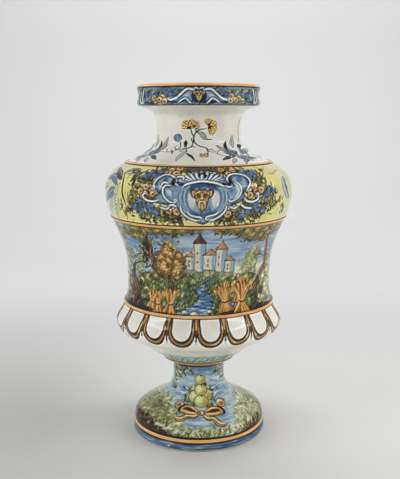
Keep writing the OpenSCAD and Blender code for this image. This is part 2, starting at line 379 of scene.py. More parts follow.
# %% Colours
WHITE, CREAM = rgb(231, 229, 219), rgb(234, 229, 213)
STRAW, STRAW_LIGHT = rgb(216, 208, 142), rgb(230, 225, 172)
ORANGE, ORANGE_DEEP, OUTLINE = rgb(232, 180, 116), rgb(208, 146, 86), rgb(36, 24, 16)
COBALT_DARK, COBALT, COBALT_MID = rgb(28, 46, 78), rgb(56, 90, 132), rgb(90, 126, 158)
COBALT_WASH, COBALT_PALE = rgb(148, 172, 190), rgb(200, 214, 216)
SKY, SKY_DEEP = rgb(140, 164, 184), rgb(86, 116, 156)
PEACH, PEACH_LIGHT, RUSSET = rgb(226, 176, 124), rgb(240, 212, 170), rgb(170, 98, 52)
OCHRE, GOLD, UMBER = rgb(198, 152, 84), rgb(222, 184, 112), rgb(92, 62, 40)
BROWN, SOOT = rgb(62, 42, 28), rgb(30, 22, 18)
OLIVE_DARK, OLIVE, OLIVE_LIGHT = rgb(56, 54, 30), rgb(110, 106, 54), rgb(172, 166, 100)
GARLAND_DARK, GARLAND = rgb(40, 38, 26), rgb(104, 104, 58)
LEAF_DARK, LEAF, LEAF_PALE = rgb(54, 72, 54), rgb(112, 134, 108), rgb(194, 210, 192)
TEAL_DARK, TEAL, TEAL_PALE = rgb(84, 118, 112), rgb(136, 170, 158), rgb(196, 214, 206)
FOLIAGE = (OLIVE_DARK, OLIVE, OLIVE_LIGHT)
print("colours mixed: whites, yellows, orange, cobalt, copper green, ochre and manganese brown")

# %% [markdown]
# ## The painter's hand
# The painting repeats a few habits: small roses, blue flowers, pointed leaves, and foliage patted on with
# the tip of the brush. Each habit is one function that takes a canvas and a place. Every touch gets a
# little chance in its angle and depth, as a hand would give it.

# %% Flowers, leaves and foliage
def rose(cv, a, s, size, petals=(PEACH, PEACH_LIGHT)):
    """A rose seen from above: a dark round, curled petals, some of them lit, and a brown heart."""
    start = cv.pick(0, 60)
    cv.dab(a, s, size * 1.2, size * 1.05, start, BROWN, strength=0.9)
    for k in range(6):
        turn = start + 60 * k
        x, y = size * 0.3 * math.cos(turn * DEG), size * 0.28 * math.sin(turn * DEG)
        tone = petals[1] if y > 0.05 * size else petals[0]
        cv.dab(*cv.beside(a, s, x, y), size * 0.48, size * 0.32, turn + 70, tone, strength=0.95)
    curl = [(0.3 * math.cos(t), 0.26 * math.sin(t)) for t in (start + np.array([0, 1.5, 3.0, 4.2]))]
    cv.stroke(cv.placed(a, s, size, curl), size * 0.11, UMBER, strength=0.85)
    cv.dab(*cv.beside(a, s, 0.04 * size, -0.03 * size), size * 0.3, size * 0.24, 20, RUSSET)
    cv.dab(*cv.beside(a, s, 0.08 * size, -0.02 * size), size * 0.16, size * 0.13, 0, SOOT)


def bluet(cv, a, s, size):
    """A blue flower in wet touches: ragged dark petals, softer blue ones over them, and pale strokes."""
    coats = ((7, 0.38, 0.5, rgb(38, 52, 84), 0.8), (9, 0.36, 0.46, rgb(68, 98, 138), 0.8),
             (6, 0.3, 0.36, rgb(112, 138, 168), 0.7), (4, 0.32, 0.2, COBALT_WASH, 0.6),
             (2, 0.2, 0.18, rgb(34, 44, 74), 0.7))
    for count, far, part, tone, strength in coats:
        for turn in cv.pick(0, 360, count):
            reach = cv.pick(0.2, 1) * far * size
            x, y = reach * math.cos(turn * DEG), reach * 0.9 * math.sin(turn * DEG)
            long = size * part * cv.pick(0.7, 1.3)
            cv.dab(*cv.beside(a, s, x, y), long, long * 0.5, turn + cv.pick(-30, 30), tone, 1.0, strength)


def leaf(cv, points, width, fill, edge, vein=None, line=1.3):
    """A pointed leaf along the points: the outline as a broad stroke, the fill inside it, then a vein."""
    cv.stroke(points, width, edge, ends=(0.45, 0.6))
    cv.stroke(points, width - line, fill, ends=(0.45, 0.6), strength=0.9)
    if vein is not None:
        cv.stroke(points, 0.7, vein, strength=0.7)


def twig(cv, points, width, colour):
    """A thin stem in one pull of the brush."""
    cv.stroke(points, width, colour, ends=(0.1, 0.25), strength=0.9)


def foliage(cv, spots, reach, count, size, tones=FOLIAGE, lean=90, spread=55, strength=0.8):
    """Leaf work round each spot: short dabs scattered over reach mm, tone by tone from dark to light."""
    for layer, tone in enumerate(tones):
        share = 1 - 0.25 * layer
        for a, s in spots:
            many = max(1, round(count * share))
            x = cv.chance.normal(0, reach[0] * share, many)
            y = cv.chance.normal(0, reach[1] * share, many) + 0.2 * layer * reach[1]
            turn = cv.chance.normal(lean, spread, many)
            large = size * cv.pick(0.6, 1.3, many)
            depth = cv.pick(0.9, 1.1, many)
            for k in range(many):
                place = cv.beside(a, s, x[k], y[k])
                cv.dab(*place, large[k], large[k] * 0.42, turn[k], tone * depth[k], strength=strength)


print("ready to paint: roses, blue flowers, leaves, twigs and foliage")

# %% [markdown]
# ## Scrolls and masks
# Scrolls and bearded masks come from carved ornament, and a painter lets them stand out from the wall:
# a dark line below, the body over it, and a lit edge last. A mask is one outline with strokes inside it,
# because at this size each feature of the face is a single touch of the brush.

# %% Scrolls and masks
def scroll(cv, points, width, body=COBALT_WASH, light=WHITE, shade=COBALT_DARK):
    """A scroll: a dark line below, the body over it, and a white lit edge along the middle."""
    cv.stroke(points, width + 2.2, shade, ends=(0.12, 0.12), strength=0.9)
    cv.stroke(points, width, body, ends=(0.12, 0.12))
    cv.stroke(points, width * 0.68, light, ends=(0.2, 0.2), relief=0.05)


def mask(cv, a, s, size, tall=1.0, skin=rgb(194, 160, 102)):
    """A bearded grotesque mask in ochre and brown: brow, ears and beard in one shape, then its features.
    tall squeezes or stretches its height."""
    def at(points):
        return cv.placed(a, s, size, [(x, y * tall) for x, y in points])

    head = [(-0.5, 0.34), (-0.36, 0.45), (-0.22, 0.38), (-0.12, 0.47), (0, 0.42), (0.12, 0.47), (0.22, 0.38),
            (0.36, 0.45), (0.5, 0.34), (0.42, 0.12), (0.28, 0.02), (0.22, -0.2), (0.1, -0.42), (0, -0.55),
            (-0.1, -0.42), (-0.22, -0.2), (-0.28, 0.02), (-0.42, 0.12)]
    cv.patch(at([(x * 1.08, y * 1.08) for x, y in head]), SOOT)
    cv.patch(at(head), skin, rim=UMBER, fade=size * 0.08)
    half = [([(0.46, 0.32), (0.36, 0.24), (0.31, 0.08)], 0.06, BROWN),
            ([(0.42, 0.37), (0.4, 0.26), (0.36, 0.14)], 0.05, PEACH_LIGHT),
            ([(0.28, 0.17), (0.15, 0.24), (0.04, 0.15)], 0.07, BROWN),
            ([(0.25, 0.04), (0.17, -0.08), (0.17, -0.24)], 0.05, RUSSET),
            ([(0.2, 0.03), (0.22, -0.02), (0.19, -0.08)], 0.05, PEACH),
            ([(0.1, 0.37), (0.15, 0.33), (0.2, 0.34)], 0.05, PEACH_LIGHT),
            ([(0.01, -0.06), (0.1, -0.1), (0.15, -0.22)], 0.07, rgb(214, 214, 190)),
            ([(0.07, -0.18), (0.09, -0.32), (0.02, -0.5)], 0.05, BROWN),
            ([(0.13, -0.2), (0.13, -0.3), (0.07, -0.42)], 0.05, PEACH_LIGHT)]
    drawn = [([(x * side, y) for x, y in points], width, tone)
             for side in (-1, 1) for points, width, tone in half]
    drawn += [([(0, 0.24), (0, 0.1), (0, 0)], 0.07, PEACH_LIGHT),
              ([(0, -0.2), (0.01, -0.36), (0, -0.52)], 0.05, GOLD),
              ([(-0.08, 0.33), (0, 0.29), (0.08, 0.33)], 0.04, BROWN),
              ([(0.05, 0.14), (0.06, 0.04), (0.05, 0)], 0.04, BROWN)]
    for points, width, tone in drawn:
        cv.stroke(at(points), size * width, tone, strength=0.85)
    for eye in at([(-0.13, 0.13), (0.13, 0.13)]):
        cv.dab(*eye, size * 0.16, size * 0.1, 0, BROWN, soft=1.2, strength=0.85)
    cv.dab(*at([(0, -0.02)])[0], size * 0.15, size * 0.05, 0, BROWN, strength=0.8)
    cv.dab(*at([(0, -0.13)])[0], size * 0.11, size * 0.05, 0, SOOT, strength=0.9)


print("ready to paint: scrolls and masks")

# %% [markdown]
# ## The shoulder
# The widest band has the richest painting: on a yellow ground, a garland of leaves, roses and blue flowers
# that surrounds a blue cartouche with a shell above, scrolls at its sides and a mask in its niche.
# The painter laid the ground, patted in the garland, drew the cartouche over it and lit it last in white.

# %% The cartouche
shoulder = Canvas(lines["shoulder"][0], 800, STRAW, seed=3)


def cartouche(cv):
    """Blue cartouche: body, ears, niche, shell, scrolls and mask."""
    body = [(-21, 40), (-17, 47), (-11, 49), (-9, 53), (2, 56), (14, 53), (15, 49), (20, 48), (24, 42),
            (27, 33), (22, 27), (17, 24), (14.5, 17), (11, 11), (6, 7), (2.5, 4), (-2, 7), (-7, 11),
            (-10.5, 18), (-13, 24), (-20, 26), (-26, 29), (-25, 35)]
    cv.patch(body, rgb(132, 160, 184), rim=COBALT_DARK, fade=4)
    for middle in (-14, 18):
        for k in range(14):
            x, y = cv.chance.normal(0, 3.5), cv.chance.normal(0, 6)
            cv.dab(*cv.beside(middle, 33, x, y), 5, 2.4, cv.pick(0, 180),
                   (COBALT_WASH, COBALT_MID)[k % 2], soft=1.4, strength=0.6)
    for ear in ([(-25, 45), (-24.5, 54), (-20, 60), (-15, 58.5), (-13, 52), (-15.5, 45), (-19, 39),
                 (-23, 38)],
                [(18, 51), (19, 58), (24, 61), (29, 57.5), (30.5, 50), (28.5, 42), (25, 37), (23, 42)]):
        cv.patch(ear, COBALT_WASH, rim=COBALT_DARK, fade=5)
        middle = np.mean(ear, axis=0)
        cv.dab(middle[0], middle[1] + 4, 10, 6, 60, COBALT, soft=3, strength=0.8)
    niche = [(-7, 36), (-5.6, 43), (-2.5, 48), (2.6, 50), (8, 48), (11.6, 43), (12.8, 36), (12, 27),
             (9.4, 19.5), (6, 15.5), (2.6, 14), (-1, 15.5), (-4.2, 19.5), (-6.4, 27)]
    cv.patch(niche, rgb(150, 170, 188), rim=rgb(74, 104, 140), fade=3)
    for k in range(26):
        x, y = cv.pick(-9, 9), cv.pick(9, 15) * (-1) ** k
        cv.dab(*cv.beside(2.8, 32, x, y), 6, 1.6, cv.pick(60, 120),
               (COBALT_MID, COBALT, COBALT_WASH)[k % 3], soft=1.2, strength=0.6)
    for middle, wide in ((-3.6, 7), (9.4, 7.5)):
        cv.dab(middle, 32, 18, wide + 1, 90, rgb(222, 218, 210), soft=1.4)
        cv.dab(middle, 26, 7, 1.2, 84, COBALT_WASH, soft=1.2, strength=0.4)
    cv.stroke([(-4.6, 42), (-2.4, 46), (2.6, 48), (7.6, 46), (10.4, 42)], 5.5, rgb(48, 78, 118), soft=2,
              strength=0.85)
    cv.stroke([(-4, 19), (2.6, 14.5), (9.4, 19)], 5, COBALT, soft=2, strength=0.8)
    for points in ([(-8, 42), (-8.6, 34), (-8, 26)], [(-10.5, 40), (-11, 33), (-10, 27)],
                   [(14, 42), (14.6, 34), (14, 26)], [(16, 40), (17, 34), (16.4, 28)], [(-6, 12), (-1, 8)],
                   [(11, 13), (6.5, 9)]):
        cv.stroke(points, 1.5, COBALT, ends=(0.4, 0.5), strength=0.7)
        cv.stroke(cv.moved(points, 1.6, 0), 1.0, COBALT_PALE, ends=(0.4, 0.5), strength=0.7)
    shell = [(-11.5, 46), (-12.5, 54), (-9, 60), (-4, 64), (2, 65), (8, 64), (13, 60), (17, 54), (17, 47),
             (9, 50), (2, 52), (-5, 50)]
    cv.patch(shell, COBALT, rim=COBALT_DARK, fade=3)
    for k in range(11):
        turn = 168 - 15.6 * k
        start = cv.beside(2.3, 46, 14 * math.cos(turn * DEG), 5 + 3 * math.sin(turn * DEG))
        end = cv.beside(2.3, 46, 26 * math.cos(turn * DEG), 4 + 14.5 * math.sin(turn * DEG))
        cv.stroke([start, end], 3.8, COBALT_WASH, ends=(0.6, 0.1))
        cv.stroke(cv.moved([start, end], -0.8, 0), 1.5, WHITE, ends=(0.5, 0.2), strength=0.9)
        cv.stroke([cv.beside(*start, 1.9, 0), cv.beside(*end, 2.2, 0)], 1.6, COBALT_DARK, ends=(0.3, 0.2))
    cv.stroke([(1, 56), (0.5, 60), (2.5, 63), (4.5, 60), (4, 56)], 3.0, SOOT, strength=0.9)
    cv.stroke([(0.5, 55), (2.5, 54), (4.5, 55)], 1.6, WHITE)
    scroll(cv, [(-9, 44), (-7, 48), (-3, 50.5), (2, 52), (7, 51), (11, 49), (15, 45)], 2.6)
    cv.stroke([(-8, 46), (2, 49.5), (13, 45)], 1.2, COBALT_DARK)
    left = ([(-11, 46), (-13.5, 50), (-13.5, 55), (-11.5, 58), (-9, 57), (-8.5, 53)],
            [(-25, 41), (-26, 48), (-24, 56), (-20, 60.5), (-16, 59), (-13, 54), (-13, 50)],
            [(-14, 46), (-18, 47), (-20, 43), (-19.5, 36), (-16.5, 30), (-13, 28.5), (-12, 32)],
            [(-17, 49), (-20, 50), (-21.5, 46)], [(-31, 38), (-32.5, 34), (-30, 30), (-26, 29), (-22, 31)],
            [(-21.5, 23), (-18, 21.5), (-15.5, 24.5)],
            [(-10, 26), (-9.2, 19), (-6.6, 13.5), (-2.8, 9.6), (1, 8.6)],
            [(-6.6, 20), (-4.6, 15.5), (-1.6, 13.4), (1.2, 12.6), (1.6, 10.4)],
            [(-12, 24), (-14, 26), (-16.5, 25)])
    right = ([(15, 46), (18, 45), (19, 48), (17, 51)],
             [(17.5, 49), (17, 55), (19.5, 60), (24, 61.5), (29, 58.5), (31.5, 51), (29.5, 44), (27.5, 40)],
             [(21, 52), (24, 47), (24.5, 40), (22, 33), (18, 29.5), (16.5, 32)],
             [(35, 36), (35.5, 31), (32, 28), (28, 29), (26, 33)], [(24, 26), (27, 22), (31, 21)],
             [(15.6, 26), (14.8, 19.5), (12.2, 14), (9, 10.2), (5.8, 8.4)], [(17, 24), (20, 22), (22, 24)],
             [(11.8, 20), (9.6, 16), (7, 14.6), (4.6, 13), (4.4, 10.4), (6.4, 10)])
    for points in left + right:
        scroll(cv, points, 2.1)
    cv.patch([(20.5, 49), (22.5, 48), (24, 41), (22, 33), (19.5, 31.5), (21.5, 40)], WHITE,
             rim=COBALT_WASH, fade=2.5)
    cv.patch([(-19, 42), (-16.5, 44), (-14, 40), (-14.5, 33), (-17.5, 36)], COBALT_PALE, rim=COBALT_MID,
             fade=2.5)
    for a, s in ((-31, 38), (35, 36), (-12.5, 31), (7.5, 9)):
        cv.dab(a, s, 3.8, 3.4, 0, WHITE)
        cv.dab(a, s - 0.6, 1.6, 1.2, 0, COBALT_MID)
    for a, s in ((-14.3, 51), (18.6, 51)):
        cv.dab(a, s, 10, 5, 80, SOOT, soft=1.4, strength=0.9)
    cv.dab(2.6, 29, 20, 10, 90, COBALT, soft=4, strength=0.7)
    mask(cv, 2, 32, 24)


print("the shoulder's wall is", round(float(shoulder.s[-1]), 1), "mm long from seam to seam")

# %% [markdown]
# ## The garland
# Leaves and flowers fill what the cartouche leaves free. On the real vase they are quick wet touches, the
# dark ones first. So a list of places and a number of touches describe them better than outlines would.

# %% The garland
def garland(cv):
    """Leaves, roses and blue flowers that surround the cartouche."""
    left = [(-20, 66), (-27, 63), (-34, 58), (-39, 52), (-36, 44), (-38, 36), (-41, 28), (-38, 20), (-31, 13),
            (-22, 11), (-14, 13), (-29, 50), (-28, 36), (-30, 27)]
    top = [(-12, 67), (-4, 70), (5, 70), (12, 68), (18, 67)]
    right = [(24, 66), (31, 63), (36, 57), (38, 49), (41, 41), (44, 33), (44, 25), (38, 17), (30, 13),
             (22, 11), (15, 10), (33, 50), (33, 34), (30, 26)]
    dense = left + right
    foliage(cv, dense, (5.2, 4.4), 14, 4.6, tones=(SOOT,), strength=0.9, spread=70)
    mixed = (OLIVE_DARK, OLIVE, rgb(150, 144, 78), SOOT, rgb(214, 206, 132))
    foliage(cv, dense, (5.8, 4.8), 17, 3.8, tones=mixed, spread=70)
    foliage(cv, top, (7, 2.8), 26, 4.2, tones=(SOOT, BROWN, rgb(84, 90, 88), COBALT))
    outer = [(46, 19), (50, 24), (-44, 18), (-42, 50), (-41, 60), (-46, 62), (41, 58), (46, 64), (-26, 7),
             (26, 7), (-34, 9), (35, 9), (-10, 7), (-16, 7), (11, 6), (18, 7)]
    gaps = [(-20, 61), (-26, 61), (-31, 55), (-16, 66), (-9, 67), (-23, 66), (20, 65), (27, 60), (14, 64),
            (31, 55), (12, 12), (17, 17), (22, 19), (27, 23), (32, 14), (-12, 13), (-18, 17), (-24, 20),
            (38, 20), (-34, 24)]
    foliage(cv, outer, (3, 3.4), 9, 3.6, tones=(SOOT, GARLAND, SOOT), strength=0.9, lean=70,
            spread=40)
    foliage(cv, gaps, (4.4, 3.2), 16, 4.2, tones=(SOOT, rgb(58, 50, 30), OLIVE), spread=70,
            strength=0.85)
    blue = [(-32, 61), (-28, 58), (-34, 57), (-25, 65), (-35, 29), (-31, 23), (-39, 22), (-25, 16), (-34, 18),
            (-28, 20), (-28, 25), (29, 64), (33, 61), (37, 63), (32, 56), (36, 58), (44, 41), (48, 38),
            (39, 31), (29, 18), (35, 19), (40, 18), (34, 23), (25, 14), (43, 36)]
    for a, s in blue:
        bluet(cv, a, s, cv.pick(9, 12))
    roses = [(-19.5, 64), (-14, 63), (-12.5, 71), (-18, 69), (-31, 44), (-34.5, 39), (-26, 37), (-16.5, 19.5),
             (-12, 18.5), (19, 62), (15, 69), (23, 68), (33.5, 45), (38, 40), (30, 35), (20, 22),
             (16.5, 15.5)]
    for a, s in roses:
        rose(cv, a, s, cv.pick(7, 8.6))


print("ready to paint: the garland")

# %% [markdown]
# ## Leaves and blossoms at the sides
# Between the front garland and the back one hang long leaves and a blue blossom, which lead the eye round.
# Each leaf is one broad stroke with a dark edge, and thin veins that follow its own line.

# %% Leaves and blossoms at the sides
def plume_leaves(cv):
    """Left of a garland: brown plumes on a dark stem, a dotted pale stalk, and grey-blue leaves behind."""
    for fill, edge, width, line in (
        (rgb(172, 182, 176), rgb(128, 142, 146), 10, [(-59, 30), (-63, 22), (-66, 14), (-66, 5)]),
        (rgb(112, 132, 150), COBALT, 12, [(-56, 43), (-62, 50), (-68, 52), (-76, 47)]),
        (rgb(122, 140, 154), COBALT, 13, [(-56, 38), (-61, 35), (-68, 29), (-77, 20)]),
        (rgb(150, 164, 172), COBALT_MID, 9, [(-70, 40), (-77, 38), (-84, 33)]),
        (rgb(222, 222, 200), rgb(120, 130, 104), 10, [(-53, 46), (-56, 38), (-56, 28), (-59, 14)]),
        (rgb(196, 202, 176), rgb(110, 120, 94), 7, [(-52, 28), (-54, 20), (-58, 10), (-57, 4)]),
        (rgb(106, 88, 64), SOOT, 11, [(-53, 50), (-58, 55), (-64, 60), (-71, 66)]),
        (rgb(168, 162, 138), SOOT, 11, [(-54, 58), (-51, 62), (-46, 65), (-42, 67)]),
    ):
        leaf(cv, line, width, fill, edge)
        for shift in (-0.28, 0.0, 0.26):
            vein = cv.moved(line, width * shift * 0.7, width * shift * 0.5)
            cv.stroke(vein, 0.9, WHITE if shift > 0.2 else edge, ends=(0.3, 0.5), strength=0.6)
    for k in range(16):
        spot = np.interp(k / 15, (0, 1), (-54, -58.5)), np.interp(k / 15, (0, 1), (45, 15))
        tone = (OLIVE, BROWN, OCHRE)[k % 3]
        cv.dab(*cv.beside(*spot, 1.6 * (-1) ** k, 0), 2.6, 1.7, 30, tone, strength=0.8)
    for k in range(10):
        spot = np.interp(k / 9, (0, 1), (-53, -43)), np.interp(k / 9, (0, 1), (60, 66))
        tone = (BROWN, CREAM)[k % 2]
        cv.dab(*cv.beside(*spot, 0, 1.8 * (-1) ** k), 3.0, 1.8, 60, tone, strength=0.8)
    cv.stroke([(-55, 60), (-52, 54), (-50, 45), (-49, 35), (-47, 27), (-46, 20)], 3.0, SOOT,
              ends=(0.4, 0.3))
    foliage(cv, [(-47, 14), (-50, 22)], (2.6, 4), 7, 4.4, tones=(GARLAND_DARK, OLIVE), lean=70, spread=30)


def long_blossom(cv):
    """Right of a garland: a long blue and white blossom, a faint peach flower above it, and dark leaves."""
    petals = ((0, 14, rgb(84, 92, 122)), (1.2, 10, rgb(104, 122, 164)), (-2.6, 4.4, rgb(212, 214, 206)),
              (3.4, 2.6, rgb(86, 78, 124)), (0.2, 1.8, rgb(176, 184, 200)))
    for shift, width, tone in petals:
        line = cv.moved([(64, 51), (62, 42), (64, 33), (68, 26)], shift, 0)
        cv.stroke(line, width, tone, ends=(0.4, 0.6), soft=1.2, strength=0.85)
    for points in ([(66, 52), (70, 44), (72, 30), (69, 16)], [(72, 58), (78, 46), (78, 30)]):
        cv.stroke(points, 2.0, rgb(162, 170, 128), ends=(0.4, 0.5), soft=1.4, strength=0.8)
    for k in range(7):
        x, y = 5.5 * math.cos(k * 0.9), 5.5 * math.sin(k * 0.9)
        cv.dab(*cv.beside(54, 65, x, y), 6, 3.4, k * 51 + 90, rgb(190, 160, 120), soft=1.4, strength=0.75)
        cv.dab(*cv.beside(54, 65, x * 0.9, y * 0.9), 4.4, 2.0, k * 51 + 90, rgb(232, 218, 178), soft=1.2,
               strength=0.85)
    cv.stroke([(48, 58), (56, 58), (62, 62), (68, 60)], 2.0, rgb(150, 130, 88), ends=(0.4, 0.5), strength=0.7)
    foliage(cv, [(54, 27), (58, 20), (50, 36), (60, 13)], (2.6, 3.4), 6, 4.4,
            tones=(GARLAND_DARK, rgb(84, 84, 48)), lean=75, spread=35)


print("ready to paint: plume leaves and a long blossom")

# %% [markdown]
# ## The order of the work
# Nothing can be wiped off raw glaze, so the ground comes first, then what lies behind, and the cartouche
# last. The same is painted again on the back, because the photograph shows only the front.

# %% Painting the shoulder
shoulder.mottle(STRAW_LIGHT, 26, 2.5, 1.6, 0.5, 0.8)
shoulder.mottle(rgb(204, 198, 122), 9, 2, 2, 1.0, 0.7)
flank = ramp(np.abs(shoulder.away()), 50, 68)
shoulder.wash(flank * (0.35 + 0.6 * shoulder.cloud(12, 1.5)), rgb(196, 200, 178))
front_and_back(shoulder, plume_leaves, long_blossom, garland, cartouche)
shoulder.band(-2, 2.6, OUTLINE)
shoulder.band(73.4, 80, OUTLINE)
print("the shoulder's canvas has", shoulder.rgb.shape[0], "rows and", shoulder.columns, "columns")

# %% [markdown]
# ## The neck
# The neck stays white, with one flowering branch across its front and a cluster of blue flowers at each
# side. On a curved white wall every stroke shows, so the branch is drawn stroke by stroke: thin stems,
# leaves with a dark edge, two gold carnations with brown shadows, a blue tulip and a small ochre flower.

# %% The flowering branch
neck = Canvas(lines["neck"][0], 640, WHITE, seed=5)
STEM_INK = rgb(44, 52, 52)
PALE_GREEN = rgb(208, 218, 208)


def carnation(cv, a, s, reach, turn, spread=76):
    """A carnation from the side: a fan of gold petals over dark brown ones, each with a pale split tip."""
    cv.dab(*cv.beside(a, s, 0.42 * reach * math.cos(turn * DEG), 0.42 * reach * math.sin(turn * DEG)),
           reach * 1.5, reach * 0.9, turn + 90, UMBER, soft=1.4, strength=0.85)
    for row, share in ((0, 1.0), (1, 0.7), (2, 0.42)):
        for k in range(7 - row):
            angle = turn + spread * (k / (6 - row) - 0.5) * 2 + cv.pick(-4, 4)
            tip = reach * share * (1 - 0.14 * abs(k - 3) / 3) * cv.pick(0.88, 1.1)
            x, y = math.cos(angle * DEG), math.sin(angle * DEG)
            points = [cv.beside(a, s, x * tip * d, y * tip * d) for d in (0.15, 0.6, 1)]
            cv.stroke(points, reach * 0.34, rgb(96, 56, 28), ends=(0.6, 0.15))
            tone = (rgb(222, 176, 92), OCHRE, rgb(230, 190, 112))[(k + row) % 3]
            cv.stroke([points[1], points[2]], reach * 0.22, tone, ends=(0.5, 0.15))
            cv.dab(*cv.beside(a, s, x * tip * 0.94, y * tip * 0.94), reach * 0.18, reach * 0.13, angle,
                   rgb(246, 220, 160))
    cv.dab(a, s, reach * 0.5, reach * 0.26, turn + 90, BROWN, strength=0.85)


def branch(cv):
    """The flowering branch across the front of the neck."""
    leaf(cv, [(-14, 31), (-17, 25), (-19, 18), (-19, 11)], 6.4, PALE_GREEN, rgb(66, 84, 76), vein=LEAF,
         line=2.2)
    leaf(cv, [(-13, 28), (-9, 24), (-6, 20), (-3, 12)], 4.4, SOOT, SOOT)
    leaf(cv, [(-16, 45), (-16, 41), (-15, 37)], 5, SOOT, SOOT)
    leaf(cv, [(-1, 54), (4, 52), (8, 48), (11, 46)], 6.4, PALE_GREEN, STEM_INK, vein=STEM_INK, line=2.4)
    leaf(cv, [(-22, 34), (-19, 31), (-16, 35)], 3.4, PALE_GREEN, LEAF)
    for points, width in (
        ([(10, 58), (2, 57), (-3, 54), (-6, 48), (-4, 42), (2, 38), (9, 36), (10, 32), (14, 30), (19, 27)],
         2.0),
        ([(-10, 58), (-8, 52), (-5, 49)], 1.9), ([(-6, 48), (-7, 42), (-9, 37), (-16, 35), (-22, 34)], 1.9),
        ([(-22, 34), (-25, 33), (-30, 30), (-36, 29), (-50, 29)], 1.5),
        ([(-24, 44), (-22, 38), (-24, 34)], 1.7),
        ([(-7, 43), (-9, 46), (-8, 48)], 1.5), ([(9, 36), (12, 33), (15, 34), (17, 31), (20, 31)], 1.4),
        ([(19, 27), (23, 24), (28, 22)], 1.5), ([(20, 27), (22, 31), (25, 32)], 1.3),
        ([(-30, 31), (-28, 25)], 2.2),
        ([(-37, 30), (-39, 34)], 1.4), ([(-2, 54), (-4, 57), (-1, 58)], 1.5), ([(-8, 38), (-4, 37)], 1.4),
        ([(-16, 41), (-17, 36)], 1.5), ([(-14, 34), (-13, 30)], 2.4), ([(11, 46), (14, 46), (18, 46)], 1.4),
        ([(-25, 33), (-29, 36), (-27, 39)], 1.5), ([(-30, 30), (-33, 33)], 1.4),
    ):
        twig(cv, points, width * 0.82, STEM_INK)
    carnation(cv, -12, 58.5, 10, 95)
    carnation(cv, -6, 60.5, 7, 40, spread=60)
    carnation(cv, 13, 62, 7.5, 70, spread=55)
    carnation(cv, 13.5, 60, 10.5, -12, spread=58)
    tulip = [(-32, 51), (-34, 48), (-31, 44), (-27, 42.5), (-23, 44.5), (-21.5, 48), (-24, 51.5), (-28, 52)]
    cv.patch(tulip, rgb(134, 158, 184), rim=rgb(58, 80, 112), fade=3)
    for a in (-31, -28, -25):
        cv.stroke([(a, 51), (a * 0.4 - 16.5, 44)], 1.2, COBALT_WASH if a == -28 else COBALT, strength=0.5)
    cup = [(1, 24), (2.5, 28), (5, 26), (7.5, 28.5), (10, 26), (9.5, 21.5), (5.5, 19.5), (2, 20.5)]
    cv.patch(cup, rgb(224, 200, 146), rim=rgb(118, 92, 58), fade=2.4)
    cv.stroke([(2, 22), (5, 24), (9, 22)], 1.2, UMBER, strength=0.7)
    twig(cv, [(10, 31), (10, 28), (9, 24)], 1.4, UMBER)
    for a, s in ((-22, 73), (-10, 75)):
        cv.dab(a, s, 6, 5, 20, TEAL_PALE, soft=2, strength=0.6)


print("the neck's wall is", round(float(neck.s[-1]), 1), "mm long from seam to seam")

# %% [markdown]
# ## The clusters beside the branch
# The flowers at both sides are seen almost edge on, where the neck turns away. They are painted once for
# the right, and the same points with the sign of their azimuth changed give the left.

# %% Painting the neck
def cluster(cv, side, out=0):
    """A cluster of grey-blue flowers and leaves beside the branch, out degrees further from it."""
    def put(points):
        return [(side * (a + out), s) for a, s in points]

    for fill, points, width in (
        (PALE_GREEN, [(45, 36), (47, 42), (50, 50)], 8.0), (PALE_GREEN, [(36, 16), (32, 11), (28, 5)], 6.0),
        (PALE_GREEN, [(33, 31), (28, 34), (22, 39)], 5.4), (SOOT, [(35, 31), (34, 38), (37, 44)], 5.5),
        (SOOT, [(33, 21), (28, 18), (21, 13)], 7.0),
        (SOOT, [(54, 34), (59, 37), (66, 38)], 6.5),
        (SOOT, [(52, 14), (58, 15), (66, 13)], 6.0), (PALE_GREEN, [(46, 12), (42, 8), (40, 2)], 5.0),
        (PALE_GREEN, [(60, 28), (68, 30), (80, 31)], 6.5), (PALE_GREEN, [(70, 20), (76, 15), (84, 12)], 5.5),
    ):
        leaf(cv, put(points), width, fill, STEM_INK, vein=LEAF_DARK, line=2.3)
    for middle_a, middle_s, count, reach in ((37.5, 26, 5, 12), (49, 15, 5, 12), (58, 28, 4, 10)):
        start = put([(middle_a, middle_s)])[0]
        for k in range(count):
            turn = 20 + 360 * k / count + cv.pick(-12, 12)
            far = reach * cv.pick(0.8, 1.1)
            x, y = far * math.cos(turn * DEG), far * 0.8 * math.sin(turn * DEG)
            petal = [cv.beside(*start, x * d, y * d) for d in (0.08, 0.5, 1)]
            tone = (rgb(84, 106, 132), rgb(122, 142, 162), rgb(100, 106, 132))[k % 3]
            cv.stroke(petal, 7.2, rgb(40, 54, 68), ends=(0.4, 0.4), strength=0.9)
            cv.stroke(petal, 4.8, tone, ends=(0.4, 0.4), strength=0.95)
            cv.stroke(cv.moved(petal[1:], -0.8, 0.9), 1.4, rgb(196, 206, 210), ends=(0.3, 0.4), strength=0.7)
        cv.dab(*start, 4.2, 3.6, 0, rgb(40, 52, 76))
        cv.dab(*start, 2.2, 2.0, 0, COBALT_PALE)


def neck_front(cv):
    """A cluster at each side, the branch between them, and a bud to the right of it."""
    cluster(cv, 1)
    cluster(cv, -1, out=19)
    leaf(cv, [(-48, 32), (-46, 40), (-43, 48)], 7, PALE_GREEN, STEM_INK, vein=LEAF_DARK, line=2.3)
    branch(cv)
    twig(cv, [(62, 42), (67, 48), (66, 56)], 1.4, STEM_INK)
    cv.dab(66, 57, 8, 5, 80, OCHRE)
    cv.dab(66, 57, 5, 2.6, 80, CREAM)
    leaf(cv, [(67, 60), (69, 66), (72, 72)], 3.5, LEAF_PALE, STEM_INK)


